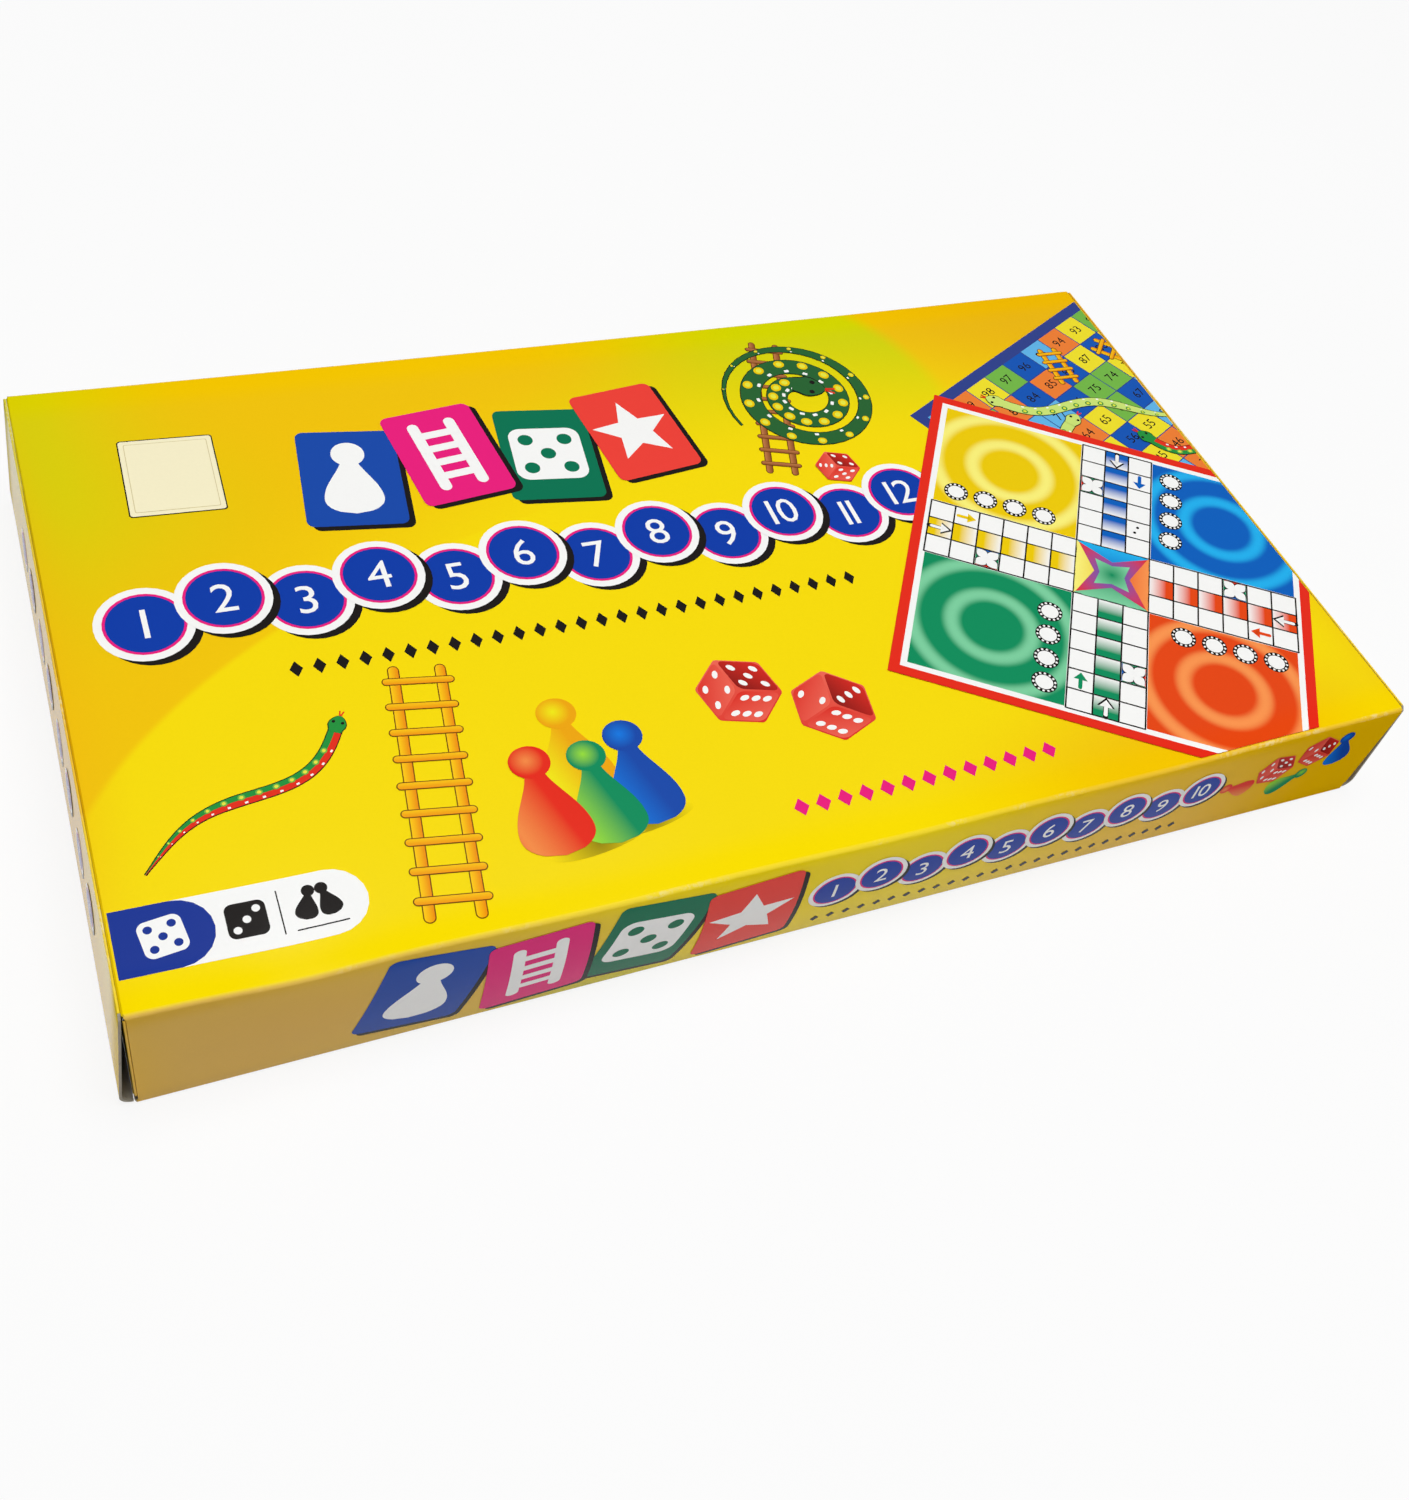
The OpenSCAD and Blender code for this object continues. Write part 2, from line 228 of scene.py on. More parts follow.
class GAME_PG_card(bpy.types.PropertyGroup):
    """Sizes of the carton's flaps and of the way that its card has settled"""
    front_sag: length_setting("Front sag", "Drop of the front top crease at mid-length", 3.2)
    back_sag: length_setting("Back sag", "Drop of the back top crease at mid-length", 1.0)
    front_bulge: length_setting("Front bulge", "Outward swell of the front panel at mid-length", 2.0)
    ripple: length_setting("Ripple", "Height of the soft waves along the front top crease", 0.35)
    ripple_length: length_setting("Ripple length", "Length of one soft wave along that crease", 84)
    dent: length_setting("Dent", "Depth of the pressed place on the front top crease", 1.3)
    fold_relief: length_setting("Fold relief", "Bevel at the top's ends that lets the ends fold back", 0.45)
    tuck_bend_radius: length_setting("Tuck bend radius", "Soft bend from an end panel to its tuck flap", 3)
    tuck_rise: angle_setting("Tuck rise", "Slope of a tucked flap above the floor", 18)
    tuck_corner_radius: length_setting("Tuck corner radius", "Corner radius of a tuck flap", 7)
    dust_shoulder: length_setting("Dust flap shoulder", "Straight part of a dust flap's upper edge", 3)
    dust_slope: angle_setting("Dust flap slope", "Slope of a dust flap's upper edge", 28)
    dust_corner_radius: length_setting("Dust corner radius", "Corner radius of a dust flap", 4)
    glue_taper: length_setting("Glue flap taper", "How far the glue flap's ends slope in", 6)


class GAME_PG_pieces(bpy.types.PropertyGroup):
    """Sizes and colours of the board, pawns and dice"""
    leaf_corner: length_setting("Leaf corner radius", "Radius of the board's free corners", 6)
    print_depth: length_setting("Print depth", "Room for the printed sheets on each face of a leaf", 0.3)
    pip_radius: length_setting("Pip radius", "Radius of the painted hollow of a pip", 1.16)
    pip_depth: length_setting("Pip depth", "Depth of the paint below a die's face", 0.42)
    pip_spread: length_setting("Pip spread", "Distance of the outer pips from the middle of a face", 3.12)
    pawn_red: colour_setting("Red pawn", "Colour of the red pawns", (216, 34, 22))
    pawn_green: colour_setting("Green pawn", "Colour of the green pawns", (24, 150, 62))
    pawn_yellow: colour_setting("Yellow pawn", "Colour of the yellow pawns", (244, 196, 16))
    pawn_blue: colour_setting("Blue pawn", "Colour of the blue pawns", (24, 84, 196))
    die: colour_setting("Die", "Colour of the dice", (200, 20, 26))
    pip: colour_setting("Pip", "Colour of the paint in the pips", (244, 243, 238))
    hinge_film: colour_setting("Hinge film", "Colour of the film along the board's fold", (30, 60, 128))


class GAME_PG_stage(bpy.types.PropertyGroup):
    """Camera, floor and lights"""
    camera_place: vector_setting(
        "Camera place", "Where the camera stands", (-0.18247, -0.27657, 0.36011), "TRANSLATION")
    camera_ahead: vector_setting(
        "Camera direction", "Where the camera looks", (0.37832, 0.56744, -0.73136), "DIRECTION")
    camera_right: vector_setting(
        "Camera right", "Right-hand side of the picture", (0.9111, -0.36789, 0.18586), "DIRECTION")
    lens: plain_setting("Lens", "Focal length in millimetres on a 36 mm sensor", 38.61)
    shift: plain_setting("Lens shift", "Upward shift of the picture by its longer side", -0.0746)
    floor_size: length_setting("Floor size", "Side of the square floor", 24000)
    key_power: plain_setting("Key light", "Power of the large lamp overhead, in watts", 50.0)
    fill_power: plain_setting("Fill light", "Power of the lamp at the front left, in watts", 0.8)
    sky: plain_setting("Surroundings", "Strength of the light from all round", 0.26)


def ink(name):
    """One printing ink as it is set in the panel."""
    return tuple(getattr(bpy.context.scene.game_inks, name))


# Shader building

def feed(tree, target, value):
    """Sets an input, or links it to another node's output."""
    if isinstance(value, bpy.types.NodeSocket):
        tree.links.new(value, target)
    elif target.type == "RGBA":
        target.default_value = (*value[:3], 1.0)
    else:
        target.default_value = value


def set_inputs(tree, target, values):
    """Feeds several inputs of a node."""
    for key, value in values.items():
        feed(tree, target.inputs[key], value)


def node(tree, kind, inputs=None, output=0, **settings):
    """Adds a node, sets it, feeds its inputs and returns one of its outputs."""
    added = tree.nodes.new(kind)
    for key, value in settings.items():
        setattr(added, key, value)
    set_inputs(tree, added, inputs or {})
    return added.outputs[output]


def maths(tree, operation, *values):
    """A Math node."""
    return node(tree, "ShaderNodeMath", dict(enumerate(values)), operation=operation)


def vector_maths(tree, operation, *values, output=0):
    """A Vector Math node."""
    return node(tree, "ShaderNodeVectorMath", dict(enumerate(values)), output, operation=operation)


def mixed(tree, factor, first, second):
    """A colour between two others."""
    return node(tree, "ShaderNodeMix", {0: factor, 6: first, 7: second}, 2, data_type="RGBA")


def between(tree, factor, first, second):
    """A value between two others."""
    return node(tree, "ShaderNodeMix", {0: factor, 2: first, 3: second})


def ramped(tree, value, low, high, start=0.0, end=1.0):
    """A value eased from one range to another."""
    inputs = {"Value": value, "From Min": low, "From Max": high, "To Min": start, "To Max": end}
    return node(tree, "ShaderNodeMapRange", inputs, interpolation_type="SMOOTHSTEP")


def noise(tree, place, scale, detail=2.0):
    """Smooth noise over a place."""
    return node(tree, "ShaderNodeTexNoise", {"Vector": place, "Scale": scale, "Detail": detail})


def split(tree, place):
    """The parts of a place along X, Y and Z."""
    return node(tree, "ShaderNodeSeparateXYZ", {0: place}).node.outputs


def attribute(tree, name, output):
    """A value that the mesh carries."""
    return node(tree, "ShaderNodeAttribute", output=output, attribute_name=name)


def scaled_colour(tree, colour, share):
    """A colour at a share of its brightness."""
    return vector_maths(tree, "MULTIPLY", colour, (share, share, share))


def shader_group(name, inputs, outputs):
    """An empty node group with named sockets; returns it, its input node and its output node."""
    tree = bpy.data.node_groups.new(name, "ShaderNodeTree")
    for way, sockets in (("INPUT", inputs), ("OUTPUT", outputs)):
        for label, kind in sockets.items():
            tree.interface.new_socket(name=label, in_out=way, socket_type="NodeSocket" + kind)
    return tree, tree.nodes.new("NodeGroupInput").outputs, tree.nodes.new("NodeGroupOutput").inputs


FINISH_INPUTS = {"Place": "Vector", "Color": "Color"}
FINISH_OUTPUTS = {"Color": "Color", "Roughness": "Float", "Height": "Float"}


def paper_grain_group():
    """Fine mottle, sheen changes and fibre height of printed or bare card."""
    cloud_scale = 22.0
    fibre_share = 0.6
    mottle_range = (0.35, 0.7)
    darkest = 0.72
    sheen_change = 0.16
    inputs = {**FINISH_INPUTS, "Mottle": "Float", "Roughness": "Float", "Fibre Scale": "Float"}
    tree, given, out = shader_group("paper_grain", inputs, FINISH_OUTPUTS)
    fibre = noise(tree, given["Place"], given["Fibre Scale"], detail=4.0)
    cloud = noise(tree, given["Place"], cloud_scale, detail=3.0)
    clouded = maths(tree, "MULTIPLY", cloud, 1 - fibre_share)
    both = maths(tree, "MULTIPLY_ADD", fibre, fibre_share, clouded)
    shade = maths(tree, "MULTIPLY", ramped(tree, both, *mottle_range), given["Mottle"])
    darker = scaled_colour(tree, given["Color"], darkest)
    feed(tree, out["Color"], mixed(tree, shade, given["Color"], darker))
    uneven = maths(tree, "SUBTRACT", cloud, 0.5)
    feed(tree, out["Roughness"], maths(tree, "MULTIPLY_ADD", uneven, sheen_change, given["Roughness"]))
    feed(tree, out["Height"], both)


def crease_wear_group():
    """Print that has cracked and paled along a crease."""
    patch_scale = 60.0
    patch_range = (0.5, 0.72)
    speck_scale = 900.0
    speck_range = (0.42, 0.6)
    cracked_share = 0.5
    rubbed_share = 0.06
    inputs = {**FINISH_INPUTS, "Crease": "Float", "Bare": "Color"}
    tree, given, out = shader_group("crease_wear", inputs, {"Color": "Color"})
    patches = ramped(tree, noise(tree, given["Place"], patch_scale, detail=5.0), *patch_range)
    specks = ramped(tree, noise(tree, given["Place"], speck_scale, detail=3.0), *speck_range)
    cracked = maths(tree, "MULTIPLY", patches, specks)
    worn = maths(tree, "MULTIPLY_ADD", cracked, cracked_share, rubbed_share)
    wear = maths(tree, "MULTIPLY", given["Crease"], worn)
    feed(tree, out["Color"], mixed(tree, wear, given["Color"], given["Bare"]))


def plastic_group():
    """Moulded plastic: faint swirls, uneven gloss and a parting line."""
    swirl_scale = 120.0
    streak_range = (0.4, 0.72)
    streak_share = 0.4
    deepest = 0.68
    gloss_range = (0.3, 0.7)
    roughness_range = (0.2, 0.34)
    fine_scale = 1500.0
    fine_height = 0.12
    tree, given, out = shader_group("moulded_plastic", {**FINISH_INPUTS, "Seam": "Float"}, FINISH_OUTPUTS)
    swirl = noise(tree, given["Place"], swirl_scale, detail=3.0)
    fine = noise(tree, given["Place"], fine_scale)
    deeper = scaled_colour(tree, given["Color"], deepest)
    streaks = ramped(tree, swirl, *streak_range, 0.0, streak_share)
    feed(tree, out["Color"], mixed(tree, streaks, given["Color"], deeper))
    feed(tree, out["Roughness"], ramped(tree, swirl, *gloss_range, *roughness_range))
    feed(tree, out["Height"], maths(tree, "MULTIPLY_ADD", fine, fine_height, given["Seam"]))


# Soft fields of colour on the carton: centre and radii in millimetres, and softness of the edge
FAR = 4000
TOP_FIELDS = (
    ("carton_yellow", ((30, -90, 20), (222, 126, FAR), 0.007)),
    ("green_yellow", ((-205, 125, 20), (84, 96, FAR), 0.6)),
    ("amber", ((190, 110, 20), (88, 62, FAR), 0.5)),
    ("green_yellow", ((30, 55, 20), (74, 70, FAR), 0.06)),
    ("warm_yellow", ((-74, 96, 20), (84, 50, FAR), 0.5)),
    ("carton_yellow", ((40, -20, 20), (150, 88, FAR), 0.35)),
    ("warm_yellow", ((108, -98, 20), (56, 24, FAR), 0.7)),
)
# On the front (Y -106) the ochre and amber fields are painted shade: they make the front darker and more
# orange as if it stood in shade.
SIDE_FIELDS = (
    ("ochre", ((-170, -106, 20), (120, 7.5, FAR), 0.35)),
    ("amber", ((180, -106, 20), (96, 7.5, FAR), 0.4)),
    ("green_yellow", ((-70, -106, -8), (30, 7.5, 16), 0.6)),
    ("warm_yellow", ((0, 106, 20), (FAR, 7.5, FAR), 0.2)),
    ("amber", ((-150, 106, 10), (70, 9, 40), 0.6)),
    ("carton_yellow", ((40, 106, 6), (120, 9, 30), 0.6)),
)
END_FIELDS = (
    ("amber", ((-196, 0, 10), (22, 130, 40), 0.6)),
    ("amber", ((196, 0, 10), (22, 130, 40), 0.6)),
)


def field_colours(tree, place, fields, colour):
    """A colour under a list of soft-edged ellipsoids of other inks."""
    for name, (centre, radii, edge) in fields:
        offset = vector_maths(tree, "SUBTRACT", place, tuple(MM * v for v in centre))
        scaled = vector_maths(tree, "DIVIDE", offset, tuple(MM * v for v in radii))
        reach = vector_maths(tree, "LENGTH", scaled, output=1)
        colour = mixed(tree, ramped(tree, reach, 1 + edge, 1 - edge), colour, ink(name))
    return colour


def new_material(name):
    """A material with one Principled shader; returns it, its tree, the shader and the object place."""
    material = bpy.data.materials.new(name)
    material.use_nodes = True
    tree = material.node_tree
    place = node(tree, "ShaderNodeTexCoord", output="Object")
    return material, tree, tree.nodes["Principled BSDF"], place


def finish_from(tree, shader, group, inputs, bump, depth):
    """Feeds a shader's colour, roughness and bump from a node group."""
    out = node(tree, "ShaderNodeGroup", inputs, node_tree=bpy.data.node_groups[group]).node.outputs
    relief = node(tree, "ShaderNodeBump", {"Height": out["Height"], "Strength": bump, "Distance": depth})
    set_inputs(tree, shader, {"Base Color": out["Color"], "Roughness": out["Roughness"], "Normal": relief})


FIBRE_DEPTH = 0.1 * MM


def grained(tree, shader, place, colour, mottle, roughness, fibre_scale, bump):
    """Gives a shader the grain of paper."""
    finish_from(tree, shader, "paper_grain", {
        "Place": place, "Color": colour, "Mottle": mottle, "Roughness": roughness,
        "Fibre Scale": fibre_scale}, bump, FIBRE_DEPTH)


# The gloss laminate, and where it dulls: along a side by the half length, below the top, in from a side
LAMINATE_IOR = 1.42
LAMINATE_ROUGHNESS = 0.23
LAMINATE_GRAIN = {"mottle": 0.06, "roughness": LAMINATE_ROUGHNESS, "fibre_scale": 1400.0}
SIDE_GLOSS = 0.45
DULL_ALONG_SHARES = (0.5, 0.92)
DULL_BELOW = (1 * MM, 8 * MM)
DULL_INSETS = (14 * MM, 3 * MM)
CREASE_PRINT_GAP = 0.2 * MM


def laminated(tree, shader, place):
    """A gloss film over the print: full on the top, dull at the long creases and half dull on the sides."""
    axes = split(tree, place)
    along = ramped(tree, axes["X"], *(share * HALF_LENGTH for share in DULL_ALONG_SHARES), SIDE_GLOSS, 0.0)
    below = ramped(tree, axes["Z"], *(HEIGHT - drop for drop in DULL_BELOW))
    depth = maths(tree, "ABSOLUTE", axes["Y"])
    edge = ramped(tree, depth, *(HALF_DEPTH - inset for inset in DULL_INSETS))
    gloss = between(tree, edge, 1.0, maths(tree, "MULTIPLY", along, below))
    set_inputs(tree, shader, {
        "Coat Weight": gloss, "Coat IOR": LAMINATE_IOR, "Coat Roughness": LAMINATE_ROUGHNESS,
        "Specular IOR Level": 0.0})


def carton_print_material():
    """Glossy laminated print with soft fields of yellow, paler where the card is creased, and painted shade
    in ochre and amber on the front.
    """
    material, tree, shader, place = new_material("glossy_carton_print")
    top = field_colours(tree, place, TOP_FIELDS, ink("warm_yellow"))
    sides = field_colours(tree, place, SIDE_FIELDS, top)
    depth = maths(tree, "ABSOLUTE", split(tree, place)["Y"])
    past_crease = ramped(tree, depth, HALF_DEPTH - CREASE_RADIUS, HALF_DEPTH - CREASE_PRINT_GAP)
    colour = field_colours(tree, place, END_FIELDS, mixed(tree, past_crease, top, sides))
    crease = attribute(tree, "crease", "Fac")
    worn = node(tree, "ShaderNodeGroup", {
        "Place": place, "Color": colour, "Crease": crease, "Bare": ink("cream")},
        node_tree=bpy.data.node_groups["crease_wear"])
    grained(tree, shader, place, worn, bump=0.08, **LAMINATE_GRAIN)
    laminated(tree, shader, place)
    return material


# Printed rings: ends of the ease over their wave, the plain middle, and the fewest that count as rings
RING_WAVE = (-0.3, 1.3)
RING_MIDDLE = (0.16, 0.36)
FEWEST_RINGS = 0.01


def inks_material():
    """Glossy inks read from a film's own colours, with fades and rings."""
    material, tree, shader, place = new_material("glossy_inks")
    fade = split(tree, attribute(tree, "fade", "Vector"))
    squares = [maths(tree, "MULTIPLY", fade[axis], fade[axis]) for axis in "XY"]
    reach = maths(tree, "SQRT", maths(tree, "ADD", *squares))
    plain = node(tree, "ShaderNodeClamp", {0: reach})
    turns = maths(tree, "MULTIPLY", reach, fade["Z"])
    wave = maths(tree, "COSINE", maths(tree, "MULTIPLY", turns, TURN))
    ringed = maths(tree, "MULTIPLY", ramped(tree, wave, *RING_WAVE), ramped(tree, reach, *RING_MIDDLE))
    share = between(tree, maths(tree, "GREATER_THAN", fade["Z"], FEWEST_RINGS), plain, ringed)
    colour = mixed(tree, share, attribute(tree, "ink", "Color"), attribute(tree, "glow", "Color"))
    grained(tree, shader, place, colour, bump=0.06, **LAMINATE_GRAIN)
    laminated(tree, shader, place)
    return material


def raw_card_material():
    """Bare grey side of the carton board, with fibres."""
    fleck_scale = 1100.0
    fleck_range = (0.6, 0.74)
    grey, dark_grey = srgb(164, 157, 142), srgb(134, 126, 112)
    material, tree, shader, place = new_material("bare_carton_board")
    flecks = ramped(tree, noise(tree, place, fleck_scale, detail=5.0), *fleck_range)
    colour = mixed(tree, flecks, grey, dark_grey)
    grained(tree, shader, place, colour, mottle=0.35, roughness=0.82, fibre_scale=700.0, bump=0.5)
    return material


def leaf_core_material():
    """Edge of the board's leaves: pressed grey board in fine layers."""
    layer_scale = 5200.0
    layer_range = (0.35, 0.65)
    stretch = (0.04, 0.04, 1.0)
    grey, pale_grey = srgb(168, 160, 146), srgb(206, 200, 186)
    material, tree, shader, place = new_material("pressed_board_core")
    layers = noise(tree, vector_maths(tree, "MULTIPLY", place, stretch), layer_scale)
    colour = mixed(tree, ramped(tree, layers, *layer_range), grey, pale_grey)
    grained(tree, shader, place, colour, mottle=0.3, roughness=0.8, fibre_scale=900.0, bump=0.5)
    return material


SEAM_EDGES = (0.16 * MM, 0.04 * MM)
PLASTIC_BUMP = 0.4
PLASTIC_DEPTH = 0.06 * MM
SCATTER_SHARE = 0.04
SCATTER_REACH = 2 * MM


def plastic_material(name, colour, seam_y=None):
    """Moulded plastic with its parting line in an upright plane along the carton."""
    material, tree, shader, place = new_material(name)
    seam = 0.0
    if seam_y:
        depth = maths(tree, "ABSOLUTE", split(tree, place)["Y"])
        off = maths(tree, "ABSOLUTE", maths(tree, "SUBTRACT", depth, seam_y))
        seam = ramped(tree, off, *SEAM_EDGES)
    inputs = {"Place": place, "Color": colour, "Seam": seam}
    finish_from(tree, shader, "moulded_plastic", inputs, PLASTIC_BUMP, PLASTIC_DEPTH)
    set_inputs(tree, shader, {"Subsurface Weight": SCATTER_SHARE, "Subsurface Radius": (SCATTER_REACH,) * 3})
    return material


def material_for(name, make):
    """A material by name, made the first time that it is asked for."""
    return bpy.data.materials.get(name) or make()


def carton_materials():
    """The printed and the bare side of the carton's card."""
    return [material_for("glossy_carton_print", carton_print_material),
            material_for("bare_carton_board", raw_card_material)]


# Mesh building

PRINTED, BARE = 0, 1
SHARP_EDGE = math.radians(32)


def new_object(name, data):
    """Adds an object at the origin."""
    added = bpy.data.objects.new(name, data)
    bpy.context.scene.collection.objects.link(added)
    return added


def add_piece(name, points, faces, materials, picks=None, crease=None):
    """A closed mesh object at the origin, with outward faces and smooth shading up to an angle."""
    mesh = bpy.data.meshes.new(name)
    mesh.from_pydata([tuple(p) for p in points], [], [tuple(f) for f in faces])
    for material in materials:
        mesh.materials.append(material)
    if picks is not None:
        mesh.polygons.foreach_set("material_index", list(picks))
    if crease is not None:
        mesh.attributes.new("crease", "FLOAT", "POINT").data.foreach_set("value", list(crease))
    shape = bmesh.new()
    shape.from_mesh(mesh)
    bmesh.ops.recalc_face_normals(shape, faces=shape.faces)
    shape.to_mesh(mesh)
    shape.free()
    mesh.shade_smooth()
    mesh.set_sharp_from_angle(angle=SHARP_EDGE)
    return new_object(name, mesh)


def dress(piece, body, slot, *nodes):
    """Lets a piece ride on its body and stand for its CAD nodes; its slot is not used."""
    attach(piece, body)
    if nodes:
        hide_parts(*nodes)
    return piece


def finish_node(name, material):
    """Gives a CAD node one material."""
    materials = frame["nodes"][name].data.materials
    materials.clear()
    materials.append(material)


class Walk:
    """A path of straights and bends in a plane, with the outward normal on a chosen side."""

    def __init__(self, start, heading, outward, width):
        self.place = np.array(start, float)
        self.heading = heading
        self.outward = outward
        self.rows = []
        self._note(width, 0.0)

    def _ahead(self):
        return np.array((math.cos(self.heading), math.sin(self.heading)))

    def _left(self):
        return np.array((-math.sin(self.heading), math.cos(self.heading)))

    def _note(self, width, crease):
        self.rows.append((self.place, -self.outward * self._left(), width, crease))

    def _widths(self, width, steps):
        """Half widths of the next rows, from the last row's to a new one."""
        last = self.rows[-1][2]
        return [last + (width - last) * k / steps for k in range(1, steps + 1)]

    def straight(self, length, steps, width):
        """Walks straight on, to a half width of the sheet."""
        step = length / steps * self._ahead()
        for half_width in self._widths(width, steps):
            self.place = self.place + step
            self._note(half_width, 0.0)

    def bend(self, radius, angle, steps, width):
        """Walks round a bend, left for a positive angle, to a half width of the sheet."""
        reach = math.copysign(radius, angle)
        centre = self.place + reach * self._left()
        start = self.heading
        for k, half_width in enumerate(self._widths(width, steps), 1):
            self.heading = start + angle * k / steps
            self.place = centre - reach * self._left()
            self._note(half_width, math.sin(math.pi * k / steps))


def card_sheet(rows, columns, place):
    """Points, faces, material picks and crease values of a bent sheet of card."""
    shares = np.linspace(-1, 1, columns + 1)
    points, crease = [], []
    for offset in (HALF_CARD, -HALF_CARD):
        for spot, normal, width, bend in rows:
            a, b = spot + offset * normal
            points += [place(width * u, a, b) for u in shares]
            crease += [bend] * (columns + 1)
    pitch, layer = columns + 1, len(rows) * (columns + 1)
    faces, picks = [], []
    for r in range(len(rows) - 1):
        for c in range(columns):
            quad = [r * pitch + c, r * pitch + c + 1, (r + 1) * pitch + c + 1, (r + 1) * pitch + c]
            faces += [quad, [i + layer for i in reversed(quad)]]
            picks += [PRINTED, BARE]
    last = (len(rows) - 1) * pitch
    rim = list(range(pitch)) + [r * pitch + columns for r in range(1, len(rows))]
    rim += [last + c for c in range(columns - 1, -1, -1)] + [r * pitch for r in range(len(rows) - 2, 0, -1)]
    for first, second in zip(rim, rim[1:] + rim[:1]):
        faces.append([second, first, first + layer, second + layer])
        picks.append(BARE)
    return points, faces, picks, crease


def slab(first, second):
    """Points and faces of a closed slab between two like outlines, which are its first two faces."""
    count = len(first)
    faces = [list(range(count - 1, -1, -1)), list(range(count, 2 * count))]
    faces += [[k, (k + 1) % count, count + (k + 1) % count, count + k] for k in range(count)]
    return [*first, *second], faces


def round_bar(start, end, radius):
    """Points, faces and picks of a printed round bar between two points."""
    turn = (end - start).to_track_quat("Z", "Y")
    angles = [TURN * k / BEAD_STEPS for k in range(BEAD_STEPS)]
    ring = [turn @ Vector((radius * math.cos(a), radius * math.sin(a), 0)) for a in angles]
    points, faces = slab([start + p for p in ring], [end + p for p in ring])
    return points, faces, [PRINTED] * len(faces)


def corner_arc(before, corner, after, radius):
    """Points of the arc that rounds one corner of an outline."""
    before, corner, after = (np.array(p, float) for p in (before, corner, after))
    u = (before - corner) / np.linalg.norm(before - corner)
    v = (after - corner) / np.linalg.norm(after - corner)
    half = math.acos(float(u @ v)) / 2
    centre = corner + (u + v) / np.linalg.norm(u + v) * radius / math.sin(half)
    first = corner + u * radius / math.tan(half) - centre
    last = corner + v * radius / math.tan(half) - centre
    sweep = math.atan2(first[0] * last[1] - first[1] * last[0], float(first @ last))
    turns = [sweep * k / CORNER_STEPS for k in range(CORNER_STEPS + 1)]
    return [centre + (math.cos(t) * first[0] - math.sin(t) * first[1],
                      math.sin(t) * first[0] + math.cos(t) * first[1]) for t in turns]


def rounded(points, radii):
    """An outline with each corner rounded by its own radius, or sharp where that is zero."""
    outline = []
    for i, corner in enumerate(points):
        if radii[i]:
            outline += corner_arc(points[i - 1], corner, points[(i + 1) % len(points)], radii[i])
        else:
            outline.append(np.array(corner, float))
    return outline


def card_plate(outline, place):
    """Points, faces and picks of a flat cut of card; place takes the outline and an outward offset."""
    sides = [[place(*map(float, p), offset) for p in outline] for offset in (HALF_CARD, -HALF_CARD)]
    points, faces = slab(*sides)
    return points, faces, [PRINTED] + [BARE] * (len(faces) - 1)


def joined(*shapes):
    """Several shapes, each of points, faces and picks, as one."""
    points, faces, picks = [], [], []
    for some_points, some_faces, some_picks in shapes:
        faces += [[i + len(points) for i in face] for face in some_faces]
        points += some_points
        picks += some_picks
    return points, faces, picks


# The carton

# Powers by which the waves and the dent, and the bulge, die away from the front
EDGE_POWER = 14
BULGE_POWER = 10
# Start of the waves in their turn, and the dent's place and width by the half length
RIPPLE_START = 0.8
DENT_PLACE_SHARE = -0.78
DENT_WIDTH_SHARE = 0.085


def settle(points):
    """Moves points of the tube to where its thin card has settled between its two firm ends."""
    card = bpy.context.scene.game_card
    points = np.array(points, float)
    x, y, z = points.T
    span = np.clip(1 - (x / HALF_LENGTH) ** 2, 0, 1)
    forward = np.clip((HALF_DEPTH - y) / (2 * HALF_DEPTH), 0, 1)
    rise = np.clip(z / HEIGHT, 0, 1)
    edge = forward ** EDGE_POWER
    sag = card.back_sag + (card.front_sag - card.back_sag) * forward
    waves = card.ripple * np.sin(TURN * x / card.ripple_length + RIPPLE_START) * np.sqrt(span) * edge
    from_dent = (x - DENT_PLACE_SHARE * HALF_LENGTH) / (DENT_WIDTH_SHARE * HALF_LENGTH)
    dent = card.dent * np.exp(-from_dent ** 2) * edge
    moved = points.copy()
    moved[:, 2] -= (sag * span + waves + dent) * rise ** 2
    moved[:, 1] -= card.front_bulge * span * np.sin(math.pi * rise) * forward ** BULGE_POWER
    return moved


def tube_rows():
    """The carton's tube as one sheet, from the back panel's raw edge round to the end of the glue flap."""
    side, flat, glue = FRONT_HIGH.x, TOP_HIGH.x, GLUE_HIGH.x
    panels = (
        (HEIGHT - CREASE_RADIUS - BACK_LOW.z, BACK_ROWS, side, side),
        (2 * (HALF_DEPTH - CREASE_RADIUS), TOP_ROWS, flat, flat),
        (HEIGHT - 2 * CREASE_RADIUS, FRONT_ROWS, side, side),
        (FLOOR_HIGH.y - FLOOR_LOW.y, FLOOR_ROWS, flat, flat),
        (GLUE_HIGH.z - CREASE_RADIUS, GLUE_ROWS, glue, glue - bpy.context.scene.game_card.glue_taper),
    )
    walk = Walk((HALF_DEPTH - HALF_CARD, BACK_LOW.z), QUARTER, 1, side)
    for index, (length, rows, width_from, width_to) in enumerate(panels):
        if index:
            walk.bend(CREASE_RADIUS - HALF_CARD, QUARTER, CREASE_ROWS, width_from)
        walk.straight(length, rows, width_to)
    return walk.rows


